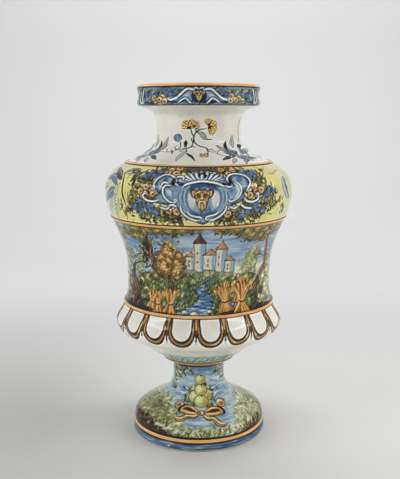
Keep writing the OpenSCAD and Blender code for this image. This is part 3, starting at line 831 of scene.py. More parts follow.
# Painted shade: grey washes right of the front and further right, low at the left, and round the top under
# the collar, the same on the back. The cream cloud is the glaze's own unevenness.
neck.wash(bump(neck.away(28), 10) * ramp(neck.up, 40, 55) * 0.45, rgb(196, 196, 190))
neck.wash(neck.cloud(30, 2) * 0.25, CREAM)
neck.wash(ramp(neck.up, 68, 84) * 0.6, rgb(212, 209, 200))
neck.wash(bump(neck.away(-26), 12) * ramp(neck.up, 24, 12) * 0.4, rgb(196, 194, 182))
neck.wash(bump(neck.away(52), 13) * ramp(neck.up, 36, 48) * 0.5, rgb(210, 208, 200))
front_and_back(neck, neck_front)
neck.band(-2, 2.6, OUTLINE)
print("the neck's canvas has", neck.rgb.shape[0], "rows and", neck.columns, "columns")

# %% [markdown]
# ## The mouth collar
# The upright collar repeats the shoulder in small: blue and green ground, a little ochre mask between two
# white-edged scrolls, roses and blue flowers. The slope below it is still white, and the lip is orange.

# %% Painting the collar
collar = Canvas(lines["collar"][0], 640, WHITE, seed=7)
BAND_LOW = float(collar.s[np.argmax(lines["collar"][0][:, 0] > 71.9)]) - 0.3
BAND_HIGH = float(np.interp(416.6, lines["collar"][0][:, 1], collar.s))
BAND_EDGE = BAND_LOW - 2.4


def collar_front(cv):
    """Mask, scrolls, roses and blossoms, with s counted from the band's lower edge; long scrolls beyond."""
    def up(points, side=1):
        return [(0.5 + side * (a - 0.5), BAND_LOW + s) for a, s in points]

    blue = [(-26, 10), (-21, 12), (-30, 13), (21, 12), (26, 10), (-48, 12), (50, 9), (-56, 9), (58, 12)]
    for a, s in up(blue):
        bluet(cv, a, s, 8)
    for a, s in up([(-44, 13), (-52, 5), (37, 12), (44, 11), (42, 6), (54, 4), (48, 14)]):
        cv.dab(a, s, 6, 3, 30, COBALT_PALE, soft=2, strength=0.6)
    for side in (1, -1):
        body = [(-3, 13), (-8, 16), (-14, 11.5), (-20, 6), (-27, 4), (-24, 1), (-16, 1), (-10, 2), (-5, 1)]
        cv.patch(up(body, side), rgb(122, 154, 182), rim=COBALT_DARK, fade=3)
        cv.dab(*up([(-11, 8)], side)[0], 9, 4, 40 * side, COBALT_PALE, soft=2, strength=0.8)
        long = [(-2, 12.5), (-5, 15), (-10, 15.5), (-15, 11), (-20, 6), (-25, 4), (-28, 5.5)]
        scroll(cv, up(long, side), 2.6)
        scroll(cv, up([(-18, 0.5), (-14, 4.5), (-11, 5.5), (-8, 2), (-6, 0)], side), 1.9)
        scroll(cv, up([(-4, 16), (-2, 17), (0, 15.5)], side), 1.4)
    cv.dab(0.5, BAND_LOW + 8, 17, 14, 0, COBALT_DARK, strength=0.95)
    mask(cv, 0.5, BAND_LOW + 8.6, 13.5, tall=0.86, skin=rgb(190, 166, 104))
    roses = [(-41, 3), (-34, 7), (-31, 2.5), (-37, 4.5), (-44, 6), (31, 8), (35, 4), (39, 6), (29, 3),
             (43, 3)]
    for a, s in up(roses):
        rose(cv, a, s, cv.pick(6.2, 7.4), petals=(rgb(222, 190, 132), rgb(242, 224, 180)))
    curls = (([(57, 17), (61, 13), (63, 7), (60, 1), (66, 2), (68, 8), (66, 14)], 3.4, rgb(104, 92, 90)),
             ([(70, 15), (77, 10), (84, 5), (92, 3)], 2.4, COBALT_WASH))
    for side in (-1, 1):
        for curl, width, body in curls:
            line = [(side * a, BAND_LOW + s) for a, s in curl]
            scroll(cv, line, width, body=body, light=COBALT_PALE, shade=SOOT)


def collar_ground(cv):
    """Blue band with green and dark patches, which turns a little way under the edge."""
    cv.band(BAND_EDGE, BAND_HIGH + 2, rgb(120, 146, 166))
    within = (cv.up > BAND_EDGE) & (cv.up < BAND_HIGH)
    patches = ((7, 2.5, COBALT, 0.8), (5, 2, COBALT_DARK, 0.8), (5, 2, rgb(122, 142, 130), 0.8),
               (3, 2, COBALT_WASH, 0.6))
    for size, stretch, tone, strength in patches:
        cv.mottle(tone, size, stretch, 3.4, 1.8, strength, within)
    spots = [(a, BAND_LOW + s) for a in range(-180, 180, 7) for s in (3, 12)]
    foliage(cv, spots, (5, 2.4), 7, 3.4, tones=(SOOT, OLIVE_DARK, GARLAND, rgb(150, 156, 100)),
            lean=30)


collar_ground(collar)
front_and_back(collar, collar_front)
collar.rgb[collar.s < BAND_EDGE] = WHITE
collar.band(BAND_EDGE - 0.6, BAND_EDGE + 0.9, rgb(40, 52, 48))
collar.band(BAND_HIGH - 1.2, BAND_HIGH + 0.4, OUTLINE)
collar.band(BAND_HIGH + 0.4, 99, rgb(228, 164, 100))
collar.mottle(rgb(244, 206, 158), 6, 5, 3, 1.2, 0.8, collar.up > BAND_HIGH + 0.8)
# Painted highlight: a pale band along the top of the lip.
collar.band(BAND_HIGH + 5.2, 99, rgb(238, 214, 184))
print("the collar's band runs from s =", round(BAND_EDGE, 1), "to", round(BAND_HIGH, 1), "mm")

# %% [markdown]
# ## The bowl
# Nineteen white tongues hang from the belt, each in a double brown line that is filled with ochre. They
# are one shape, an upright with a round end, repeated round the wheel. Below them the white wall runs
# down to a teal garland of small scrolls and an orange ring over the stem.

# %% Painting the bowl
bowl = Canvas(lines["bowl"][0], 640, WHITE, seed=9)
TONGUES = 19
TONGUE_PITCH = 360 / TONGUES
TONGUE_START = 7.9


def tongue(cv, half, low, tall):
    """Signed distance in mm, positive inside, to the edge of the nearest tongue of that half width, lowest
    point and height of its round end. The tongue is open above."""
    a = (cv.a - TONGUE_START + TONGUE_PITCH / 2) % TONGUE_PITCH - TONGUE_PITCH / 2
    x = np.abs(a)[None] * DEG * cv.r[:, None]
    y = np.minimum(0, cv.up - low - tall) * half / tall
    return half - np.hypot(x, y)


def tongues(cv):
    """The band of tongues: brown line, ochre, brown line, and the white inside; then a dart in each gap."""
    inner, outer = tongue(cv, 10.6, 76.8, 13), tongue(cv, 15.8, 67.6, 20)
    share = np.clip(outer / (outer - inner), 0, 1) + 0.05 * (cv.cloud(6, 0.6) - 0.5)
    painted = ramp(outer, -0.4, 0.4) * ramp(inner, 0.4, -0.4) * ramp(cv.up, 66, 68)
    bronze, lit = rgb(158, 122, 78), rgb(220, 186, 130)
    ochre = bronze + (lit - bronze) * np.clip(cv.cloud(7)[..., None] * 3.4 - 1.7, 0, 1)
    brown = rgb(46, 33, 22) + (UMBER - OUTLINE) * np.clip(cv.cloud(5)[..., None] * 3 - 1.4, 0, 1)
    core = ramp(share, 0.3, 0.4) * ramp(share, 0.68, 0.58)
    streak = ramp(np.abs(share - 0.56), 0.06, 0)
    cv.wash(painted, brown)
    cv.wash(painted * core, ochre)
    cv.mottle(UMBER, 12, 1, 3, 1.3, 0.8, painted * streak)
    for k in range(TONGUES):
        gap = TONGUE_START + (k + 0.5) * TONGUE_PITCH
        cv.stroke([(gap, 106), (gap, 94), (gap, 80)], 5.0, OUTLINE, ends=(0, 0.5))
        cv.stroke([(gap, 106), (gap, 96), (gap, 82)], 2.7, (bronze + lit) / 2, ends=(0, 0.5))
        cv.stroke([(gap, 90), (gap, 84), (gap, 73)], 1.8, UMBER, ends=(0.1, 0.5))
        cv.dab(gap, 78, 2.6, 3.6, 0, rgb(84, 78, 70))


def teal_garland(cv):
    """Leaf scrolls in teal round the foot of the bowl, between two soft lines, with painted shade towards the
    flanks.
    """
    cover = ramp(cv.up, 7, 10) * ramp(cv.up, 31, 26)
    cv.wash(cover * (0.6 + 0.4 * cv.cloud(8, 1.5)), TEAL)
    cv.mottle(rgb(96, 128, 104), 5, 1.5, 3, 1.6, 0.7, cover)
    for k in range(24):
        a = k * 15 + 4
        cv.stroke([(a - 7, 10), (a - 5, 19), (a, 25), (a + 4, 21), (a + 2, 16)], 2.6, TEAL_PALE, strength=0.9)
        cv.stroke([(a + 7, 10), (a + 6, 17), (a + 3, 23)], 1.8, TEAL_PALE, strength=0.7)
        cv.stroke([(a + 1, 9), (a + 5, 14), (a + 8, 22)], 2.2, TEAL_DARK, strength=0.85)
        cv.stroke([(a - 8, 12), (a - 6, 20), (a - 1, 26)], 1.0, TEAL_DARK, strength=0.8)
        cv.stroke([(a - 4, 26), (a + 1, 28), (a + 5, 26)], 2.0, rgb(92, 116, 78), strength=0.85)
        cv.dab(a - 2, 14, 4.5, 3, 50, rgb(104, 142, 164), strength=0.8)
    cv.band(32.5, 35, TEAL_PALE, soft=2.5, wobble=0.5, strength=0.8)
    # Painted shade: the garland darkens towards the flanks.
    cv.wash(cover * ramp(np.abs(cv.away()), 22, 38) * 0.4, rgb(112, 118, 84))


bowl.wash(bowl.cloud(24, 3) * 0.3, rgb(214, 212, 206))
# Painted shade on the underside of the belt: greyer towards the flanks and in a patch right of the front, the
# same on the back.
under = ramp(bowl.up, 31, 37) * ramp(bowl.up, 72, 64)
bowl.wash(under * ramp(np.abs(bowl.away()), 44, 62) * 0.6, rgb(196, 190, 180))
bowl.wash(under * bump(bowl.away(25), 11) * 0.42, rgb(196, 192, 182))
tongues(bowl)
teal_garland(bowl)
bowl.band(5.4, 8.0, rgb(74, 66, 44), soft=1.2)
bowl.band(-1, 5.6, rgb(226, 164, 92))
bowl.band(102, 110, OUTLINE)
print(TONGUES, "tongues,", round(TONGUE_PITCH, 2), "degrees apart")

# %% [markdown]
# ## The drum
# The waist of the vase carries a landscape that goes all the way round: a streaked blue sky, twisted
# trunks, patted foliage, a hill town, a stream between meadows, sheaves of corn, a golden tree, and dark
# ground along the seam. Maiolica painters work such scenes from far to near, and so do the functions below.

# %% Tones, trunks and sky
drum = Canvas(lines["drum"][0], 660, SKY, seed=11)
HAZE = (rgb(110, 116, 84), rgb(146, 148, 104), rgb(186, 188, 148))
BUSH = (rgb(34, 30, 18), rgb(84, 80, 40), rgb(130, 130, 74), rgb(172, 172, 112), rgb(214, 216, 172))
CANOPY = (rgb(56, 48, 26), rgb(108, 100, 48), rgb(138, 126, 64), rgb(176, 162, 100))
MEADOW = (rgb(36, 46, 32), rgb(84, 100, 60), rgb(112, 128, 78), rgb(170, 174, 108), rgb(208, 212, 164))
AUTUMN = (UMBER, rgb(136, 98, 52), rgb(186, 142, 80), rgb(216, 184, 116))
STREAM_S = (-3, 6, 14, 22, 30, 38, 46)
STREAM_MIDDLE = (-7, -4, 3, 6, 0, 6, 12)
STREAM_HALF = (17, 14, 9.5, 7.5, 5.5, 4, 1.5)


def hatch(cv, points, tones, count, width, spread=(5, 3), strength=0.75):
    """Strokes that follow one line, scattered beside it, as a painter models a mass with the brush."""
    for k in range(count):
        line = cv.moved(points, cv.chance.normal(0, spread[0]), cv.chance.normal(0, spread[1]))
        wide, tone = width * cv.pick(0.5, 1.3), tones[k % len(tones)] * cv.pick(0.9, 1.1)
        cv.stroke(line, wide, tone, ends=(0.5, 0.5), strength=strength)


def trunk(cv, points, width, branches=()):
    """A gnarled trunk: dark brown, then broken strokes of ochre and russet up it, and thin bare branches."""
    for line in branches:
        cv.stroke(line, 1.7, BROWN, ends=(0.1, 0.6))
    cv.stroke(points, width + 1.6, SOOT, ends=(0.05, 0.6))
    cv.stroke(points, width, BROWN, ends=(0.05, 0.6))
    for _ in range(4):
        knot = points[cv.chance.integers(1, len(points) - 1)]
        cv.dab(*cv.beside(*knot, cv.pick(-2, 2), 0), width * 1.1, width * 0.6, 70, SOOT,
               strength=0.8)
    bark = ((-0.24, rgb(190, 146, 88), 0.2), (0.1, rgb(140, 90, 56), 0.18), (0.3, rgb(160, 134, 102), 0.14),
            (-0.05, SOOT, 0.18))
    for shift, tone, share in bark:
        line = [cv.beside(a, s, width * (shift + 0.12 * (-1) ** k), 0) for k, (a, s) in enumerate(points)]
        for first in range(0, len(line) - 2, 2):
            cv.stroke(line[first:first + 3], width * share, tone, ends=(0.4, 0.5), strength=0.9)


def sky(cv):
    """Blue sky, deeper above, crossed by pale and grey streaks, with warm light along the horizon."""
    cv.wash(np.clip(ramp(cv.up, 0, 100) * 1.2 - 0.4, 0, 1) * 0.7, SKY_DEEP)
    streaks = ((6, 5, COBALT_PALE, 0.8), (3, 7, rgb(104, 132, 170), 0.8), (2, 8, COBALT_WASH, 0.6),
               (2.6, 6, rgb(206, 214, 212), 0.55))
    for size, stretch, tone, strength in streaks:
        cv.mottle(tone, size, stretch, 3, 1.5, strength)
    cv.mottle(rgb(224, 220, 176), 26, 2, 2.4, 0.6, 0.9, bump(cv.up - 50, 10))


print("the drum's wall is", round(float(drum.s[-1]), 1), "mm long from seam to seam")

# %% [markdown]
# ## The hill town
# Towers on a hill close the view in many maiolica landscapes. They are far away, so they get few and pale
# colours: a box with a shaded side, a curved roof with a lit edge, and two dark windows.

# %% The hill town
def hill_town(cv):
    """Pale walls and towers with orange and dark roofs, on a blue-green hill behind the trees."""
    hill = [(-24, 40), (-18, 50), (-8, 55), (2, 58), (12, 58), (20, 56), (28, 48), (32, 38), (10, 30),
            (-16, 30)]
    cv.patch(hill, rgb(100, 116, 104), rim=rgb(124, 146, 158), fade=6)
    foliage(cv, [(-14, 44), (-4, 50), (14, 51), (22, 50), (-20, 40), (6, 48), (26, 44), (0, 42), (18, 42)],
            (6, 3.5), 16, 4.4, tones=HAZE)
    walls = ((-5, 54, 12, 16, 0), (1, 53, 12, 34, 1), (9, 54, 17, 18, 0), (16, 52, 12, 27, 0),
             (23, 50, 12, 14, 0))
    for a, s, wide, high, dark in walls:
        half = wide / 2
        box = [(-half, 0), (-half, high * 0.5), (-half, high), (0, high + 0.4), (half, high),
               (half, high * 0.5), (half, 0)]
        cv.patch(cv.placed(a, s, 1, box), rgb(212, 212, 196), rim=rgb(74, 66, 58), fade=1.8)
        shade = [(0.15 * half, 0.5), (0.15 * half, high - 0.5), (half - 0.4, high - 0.5), (half - 0.4, 0.5)]
        cv.patch(cv.placed(a, s, 1, shade), COBALT_MID, strength=0.55, soft=1.6)
        middle = cv.placed(a, s, 1, [(-half * 0.5, high * 0.2), (-half * 0.5, high * 0.8)])
        hatch(cv, middle, (OCHRE, COBALT_WASH, WHITE), 9, 1.0, (2.4, 1), 0.55)
        peak = high * 0.42
        roof = [(-half - 1.2, high - 0.4), (-half * 0.45, high + peak * 0.5), (0, high + peak),
                (half * 0.45, high + peak * 0.5), (half + 1.2, high - 0.4), (0, high - 1)]
        cv.patch(cv.placed(a, s, 1, roof), rgb(86, 50, 40) if dark else rgb(200, 134, 84), rim=BROWN,
                 fade=1.8)
        light = [(-half * 0.5, high + 0.3), (-half * 0.12, high + peak * 0.8)]
        cv.stroke(cv.placed(a, s, 1, light), 1.3, RUSSET if dark else PEACH, strength=0.8)
        for k in range(2):
            spot = cv.beside(a, s, -0.4 * half, high * (0.3 + 0.32 * k))
            cv.dab(*spot, 3.0, 1.8, 90, BROWN, strength=0.9)


print("ready to paint: a hill with five towers")

# %% [markdown]
# ## The stream and its meadows
# The stream is one winding shape, wide at the seam and narrow at the hill, which gives the scene its depth.
# Short curved strokes across it are ripples, and grass in upright touches hides its edges.

# %% The stream and its meadows
def stream(cv):
    """A stream that winds from the foot of the hill and widens, with ripples and white stones."""
    steps = np.linspace(-3, 46, 12)
    middle, half = np.interp(steps, STREAM_S, STREAM_MIDDLE), np.interp(steps, STREAM_S, STREAM_HALF)
    outline = list(zip(middle + half, steps)) + list(zip((middle - half)[::-1], steps[::-1]))
    cv.patch(outline, rgb(92, 128, 166), rim=COBALT_DARK, fade=4)
    tones = (COBALT, COBALT_MID, COBALT_WASH, rgb(40, 66, 108), COBALT_MID, COBALT_PALE, COBALT)
    for k in range(190):
        s = cv.pick(-1, 44)
        half = float(np.interp(s, STREAM_S, STREAM_HALF))
        a = np.interp(s, STREAM_S, STREAM_MIDDLE) + half * cv.pick(-0.75, 0.75)
        reach = half * cv.pick(0.15, 0.4)
        arch = cv.pick(-0.8, 0.9)
        cv.stroke([(a - reach, s), (a, s + arch), (a + reach, s + 0.2)], cv.pick(0.8, 2.0),
                  tones[k % len(tones)], ends=(0.5, 0.5), strength=0.85)
    for k in range(26):
        s = 1 + 42 * k / 25
        half = float(np.interp(s, STREAM_S, STREAM_HALF))
        for side in (-1, 1):
            a = float(np.interp(s, STREAM_S, STREAM_MIDDLE)) + side * half
            blade = 2.2 + 0.07 * (44 - s)
            foliage(cv, [(a, s + 0.5)], (2.2, 1.2), 5, blade, tones=MEADOW[:4], lean=80, spread=25)
    for a, s, size in ((-10, 5, 9), (-3, 3, 12), (8, 6, 8), (11, 10, 5), (-15, 9, 5)):
        stone = [(-0.5, -0.1), (-0.3, 0.28), (0.05, 0.36), (0.4, 0.2), (0.52, -0.12), (0.2, -0.32),
                 (-0.3, -0.3)]
        cv.patch(cv.placed(a, s, size, stone, 10 * (a % 3 - 1)), rgb(176, 182, 176), rim=UMBER, fade=2)
        cv.dab(*cv.beside(a, s, -0.1 * size, 0.12 * size), size * 0.5, size * 0.22, 12, rgb(226, 226, 214))
        cv.dab(*cv.beside(a, s, 0.1 * size, -0.2 * size), size * 0.6, size * 0.16, -8, COBALT_DARK,
               strength=0.7)


def meadows(cv):
    """Green banks at both sides of the stream, in short upright touches of grass."""
    left = [(-36, 28), (-28, 32), (-20, 34), (-12, 32), (-34, 18), (-26, 22), (-18, 24), (-12, 22), (-32, 8),
            (-26, 10), (-10, 40), (-4, 38), (-24, 4)]
    right = [(14, 32), (20, 36), (28, 36), (12, 24), (20, 26), (30, 30), (18, 16), (26, 20), (36, 22),
             (16, 6), (40, 12)]
    for tones, spots in ((MEADOW, left), (MEADOW[:4], right)):
        foliage(cv, spots, (7, 3.4), 15, 8.0, tones=tones[1:3], lean=15, spread=15, strength=0.7)
        foliage(cv, spots, (6.5, 4), 20, 3.6, tones=tones, lean=85, spread=22)


print("ready to paint: a stream with stones, and the meadows beside it")

# %% [markdown]
# ## The sheaves
# A sheaf is a bundle of stalks with a narrow waist. It is drawn as it is bound: stalks that cross at the
# tie, ears that spread above it, and the tie itself last.

# %% The sheaves
def sheaf(cv, a, s, size, lean=0):
    """A sheaf of corn that stands on its cut ends: stalks through a narrow waist, ears above, and its tie."""
    bundle = [(-0.36, 0), (-0.13, 0.42), (-0.36, 0.95), (0, 1.08), (0.36, 0.95), (0.13, 0.42), (0.36, 0)]
    cv.patch(cv.placed(a, s, size, bundle, lean), rgb(64, 38, 20))
    tones = (OCHRE, rgb(206, 164, 96), rgb(176, 118, 64), rgb(226, 196, 144), rgb(132, 84, 48), OCHRE,
             rgb(210, 166, 90), UMBER)
    for k in range(44):
        share = cv.pick(-1, 1)
        line = [(0.34 * share, 0.02), (0.12 * share, 0.42), (0.36 * share, cv.pick(0.8, 1.0))]
        cv.stroke(cv.placed(a, s, size, line, lean), cv.pick(0.8, 1.7), tones[k % len(tones)],
                  ends=(0.2, 0.3), strength=0.9)
    for k in range(34):
        share = cv.pick(-1, 1)
        ear = (0.42 * share, cv.pick(0.82, 1.12) - 0.12 * abs(share))
        spot = cv.placed(a, s, size, [ear], lean)[0]
        cv.dab(*spot, size * 0.15, size * 0.05, 90 - 40 * share + lean, tones[(k * 3) % 7])
    cv.stroke(cv.placed(a, s, size, [(-0.15, 0.4), (0, 0.36), (0.15, 0.42)], lean), size * 0.07, BROWN)
    cv.stroke(cv.placed(a, s, size, [(-0.13, 0.44), (0, 0.4), (0.13, 0.46)], lean), size * 0.035, PEACH)


def sheaves(cv):
    """Three sheaves at the right of the scene and three at the left."""
    right = ((31, 14, 26, -6), (21, 5, 30, 5), (34, 2, 34, -4))
    left = ((-31, 3, 23, 6), (-38, 6, 20, -8), (-22, 3, 27, -5))
    for place in right + left:
        sheaf(cv, *place)


print("ready to paint: six sheaves")

# %% [markdown]
# ## Trees, bushes and ground
# Trees frame the scene like the wings of a stage. The far ones are pale and soft, and the near ones dark
# with ochre lights on the bark, so that the eye goes through them to the town.

# %% Trees, bushes and ground
def scenery(cv):
    """Trees, bushes and canopy at both sides of the scene."""
    far = [(-24, 55), (-20, 66), (-17, 74), (-15, 60), (-20, 82), (-28, 48), (40, 62), (43, 72), (38, 52),
           (45, 55), (-46, 62), (-50, 46), (66, 56), (-66, 60), (-70, 48), (-68, 74), (70, 48), (74, 62),
           (72, 76)]
    foliage(cv, far, (5, 5), 9, 8, tones=HAZE[:2], lean=20, strength=0.55)
    foliage(cv, far, (5, 5.5), 30, 4.2, tones=HAZE, lean=20, strength=0.75)
    top = [(-52, 97), (-44, 99), (-34, 99), (-26, 100), (-18, 100), (-10, 101), (-46, 90), (40, 99), (48, 97),
           (56, 100), (64, 96), (52, 88), (44, 90), (32, 98), (24, 101), (36, 93), (14, 102), (-62, 92),
           (-72, 96), (-68, 88), (72, 98)]
    foliage(cv, top, (7, 3), 8, 8, tones=CANOPY[1:3], lean=10, spread=20, strength=0.6)
    foliage(cv, top, (7, 3.4), 26, 4.4, tones=CANOPY, lean=10, spread=35)
    low = [(-48, 34), (-42, 38), (-36, 32), (-44, 24), (-34, 22), (-28, 36), (-27, 24), (-48, 16), (-38, 14),
           (-28, 12), (44, 30), (48, 34), (52, 22), (58, 28), (46, 16), (54, 12), (62, 16), (66, 30),
           (-33, 42), (-52, 24), (38, 40), (-72, 36), (-66, 28), (-70, 16), (70, 38), (72, 20)]
    foliage(cv, low, (6, 4.6), 9, 9, tones=BUSH[1:3], lean=15, strength=0.65)
    foliage(cv, low, (6.5, 4.6), 24, 4.8, tones=BUSH, lean=15)
    trunk(cv, [(-57, 2), (-58, 12), (-55, 22), (-59, 34), (-60, 44), (-57, 54)], 13,
          [[(-59, 50), (-52, 56), (-40, 60)], [(-60, 50), (-68, 60), (-74, 62)]])
    trunk(cv, [(-36, 99), (-38, 90), (-36, 80), (-37, 70), (-34, 62), (-35, 54), (-31, 45)], 9,
          [[(-36, 66), (-44, 68), (-52, 76)], [(-35, 62), (-30, 66), (-25, 66)],
           [(-36, 58), (-42, 52), (-47, 52)], [(-46, 68), (-51, 66)]])
    tall = [(44, 4), (46, 12), (44, 20), (48, 28), (53, 36), (56, 44), (61, 52), (60, 62), (58, 72), (55, 84),
            (53, 96)]
    trunk(cv, tall, 9, [[(56, 46), (64, 56), (70, 66)], [(46, 24), (41, 32), (38, 36)],
                        [(60, 60), (52, 66), (46, 66)]])
    foliage(cv, [(-37, 96), (-40, 88), (-58, 62), (-64, 70), (52, 92), (66, 62), (-32, 84), (-42, 76),
                 (47, 68)], (4, 4), 14, 4, tones=CANOPY)
    foliage(cv, [(36, 5), (42, 8), (48, 6), (-46, 8), (-52, 10), (-38, 4), (54, 6)], (5, 3), 20, 4.4,
            tones=(SOOT, BROWN, rgb(74, 54, 58), OLIVE), lean=0, spread=30)
    foliage(cv, [(-64, 6), (-62, 20), (-54, 16), (-50, 30), (-62, 40), (-41, 62), (-40, 78), (50, 14),
                 (58, 20), (52, 30), (64, 40), (40, 22), (-32, 16)], (3.4, 4.4), 9, 5,
            tones=(SOOT, SOOT, BROWN), spread=40)


def bushes_in_painted_light(cv):
    """Pale bushes at the right end of the scene, their paleness a painted light on the right flank."""
    spots = [(60, 12), (66, 18), (72, 12), (64, 25), (72, 27), (60, 36), (68, 41), (76, 34)]
    # Painted light: pale tones that lighten the right flank of the drum.
    painted_light_tones = (rgb(136, 136, 80), rgb(178, 178, 124), rgb(208, 208, 160), rgb(228, 228, 196))
    foliage(cv, spots, (5, 3.6), 13, 4.8, tones=painted_light_tones, lean=20, strength=0.75)


def thicket(cv):
    """Bushes, a thin tree and canopy a quarter of the way round, between the front scene and the back one."""
    cv.turn_to(cv.front + 90)
    foliage(cv, [(-12, 40), (-6, 48), (2, 52), (10, 46), (14, 38), (-4, 62), (8, 60)], (6, 5), 26, 4.6,
            tones=HAZE, lean=20)
    foliage(cv, [(-14, 30), (-6, 28), (2, 32), (10, 26), (16, 30), (-10, 16), (0, 18), (12, 14)], (6.5, 4.6),
            28, 5, tones=BUSH, lean=15)
    trunk(cv, [(2, 8), (0, 22), (4, 36), (1, 50), (5, 66), (3, 84)], 8,
          [[(2, 48), (-4, 58), (-9, 62)], [(4, 60), (10, 70), (14, 74)]])
    foliage(cv, [(-12, 98), (-4, 94), (4, 96), (12, 98), (0, 84), (10, 84), (18, 100)], (7, 4), 28, 4.6,
            tones=CANOPY, lean=10)
    cv.turn_to(cv.front - 90)


def autumn_tree(cv):
    """A small tree with golden and russet leaves on the left bank."""
    trunk(cv, [(-21, 24), (-20, 34), (-22, 44), (-20, 54)], 4)
    crown = [(-26, 56), (-22, 62), (-16, 60), (-24, 50), (-17, 49), (-28, 66), (-20, 70), (-14, 68),
             (-22, 78), (-28, 52), (-15, 54), (-24, 72)]
    foliage(cv, crown, (4, 3.6), 7, 7, tones=AUTUMN[:2], lean=20)
    foliage(cv, crown, (4.4, 4), 24, 3.6, tones=AUTUMN, lean=20, strength=0.85)
    foliage(cv, crown[::2], (3.6, 3), 6, 3, tones=(OLIVE, rgb(236, 208, 140)), lean=20, strength=0.85)


def ground(cv):
    """Dark ground along the lower seam with a ragged edge of grass."""
    edge = 3 + 9 * cv.cloud(14, 2)
    cv.wash(ramp(edge - cv.up, 0, 1.5) * 0.92, rgb(54, 38, 38))
    foliage(cv, [(a, 9) for a in range(-180, 180, 8)], (6, 2.5), 8, 3.4,
            tones=(OLIVE_DARK, rgb(70, 50, 54), rgb(150, 150, 100)), lean=10, spread=40)


print("ready to paint: trees, bushes, a thicket for each side, and the ground")

# %% [markdown]
# ## The drum from far to near
# Now the landscape is painted in the order of its depth: sky, town and trees, then the ground along the
# seam, and last what stands in front of it.

# %% Painting the drum
sky(drum)
front_and_back(drum, thicket, hill_town, scenery)
ground(drum)
front_and_back(drum, bushes_in_painted_light, meadows, stream, autumn_tree, sheaves)
drum.band(-2, 2.4, OUTLINE)
drum.band(103.6, 110, OUTLINE)
print("the drum's canvas has", drum.rgb.shape[0], "rows and", drum.columns, "columns")

# %% [markdown]
# ## The foot
# The bell of the foot has grass and dark earth along its edge, water above it, and sky up the stem. On the
# front lies a pile of pale fruit with blue plumes, two roses and a gold bow.

# %% Water and clouds
foot = Canvas(lines["foot"][0], 600, rgb(172, 189, 195), seed=13)


def water(cv):
    """Blue water and sky with broken pale and dark streaks, deeper up the stem, and a painted light: pale
    mottle on the right flank.
    """
    streaks = ((7, 3, rgb(196, 212, 216), 0.8), (5, 4, rgb(124, 149, 170), 0.75),
               (3, 4, rgb(216, 224, 220), 0.75), (2.5, 5, rgb(94, 126, 158), 0.6),
               (4, 3, rgb(150, 180, 172), 0.6))
    for size, stretch, tone, strength in streaks:
        cv.mottle(tone, size, stretch, 3.2, 1.7, strength)
    cv.wash(ramp(cv.up, 84, 96) * (0.15 + 0.7 * cv.cloud(4, 3)), rgb(72, 102, 140))
    # Painted light: pale mottle round azimuth 62, right of the front and of the back, below the stem.
    cv.mottle(rgb(222, 230, 230), 5, 3, 2.4, 0.6, 1, bump(cv.away() - 62, 20) * ramp(cv.up, 70, 58))


def clouds(cv):
    """Soft pale touches in the sky of the stem."""
    places = ((-27, 80, 16), (-20, 86, 12), (-30, 73, 14), (24, 78, 10), (-24, 94, 12), (22, 92, 10))
    for a, s, long in places:
        cv.dab(a, s, long, 3.4, cv.pick(-8, 12), rgb(196, 214, 218), soft=2.2, strength=0.7)


print("the foot's wall is", round(float(foot.s[-1]), 1), "mm long from its edge to the bowl")

# %% [markdown]
# ## The banks
# Earth, bushes and tufts of grass rise at the sides of the bell and stay low in front, where the fruit
# lies. The height of the bank is therefore a line through a few knots, from one side to the other.

# %% The banks
def banks(cv):
    """Dark earth, bushes and tufts round the edge of the bell, taller at the sides."""
    knots = (-90, -60, -35, -12, 10, 35, 60, 90)
    lows, tops = (22, 28, 23, 12, 10, 14, 21, 22), (52, 54, 42, 18, 15, 20, 42, 52)
    edge = np.interp(cv.away(), knots, (19, 26, 22, 9, 5, 10, 18, 19)) + 11 * (cv.cloud(6, 1.6) - 0.5)
    earth = ramp(edge - cv.up, 0, 1.5)
    cv.wash(earth * 0.95, rgb(50, 34, 36))
    cv.mottle(rgb(110, 78, 54), 3, 2, 3, 1.8, 0.7, earth)
    dark = (rgb(124, 126, 82), rgb(172, 176, 128), rgb(206, 208, 168))
    light = (rgb(140, 144, 98), rgb(200, 204, 162), rgb(228, 230, 204))
    tip = (rgb(230, 230, 204),)
    grass, soil = (rgb(70, 78, 40), rgb(130, 134, 78), rgb(206, 210, 172)), (UMBER, SOOT, rgb(150, 138, 100))
    for a in range(-180, 180, 7):
        part = (a + 90) % 180 - 90
        low, top = np.interp(part, knots, lows), np.interp(part, knots, tops)
        tones = light if part > 20 else dark
        for s in np.arange(low, top, 7.5):
            foliage(cv, [(a, s)], (5.5, 3.4), 6, 8.5, tones=tones[:2], lean=30, spread=60, strength=0.75)
            foliage(cv, [(a, s)], (5, 3), 3, 5, tones=(rgb(84, 82, 46),), lean=50, spread=60)
            foliage(cv, [(a, s)], (6, 4), 10, 6.2, tones=tones + tip, lean=50, spread=60, strength=0.7)
        if abs(part) < 45:
            foliage(cv, [(a, low)], (4, 1.8), 12, 5, tones=grass, lean=80, spread=30)
        else:
            foliage(cv, [(a, low - 6), (a + 3, low - 12)], (5, 2.6), 5, 5, tones=soil, lean=50, spread=60)
    turf = ramp(np.interp(cv.away(), knots, tops) - cv.up, 0, 6)
    cv.mottle(rgb(66, 62, 36), 9, 1.8, 3.6, 2.1, 0.3, turf)


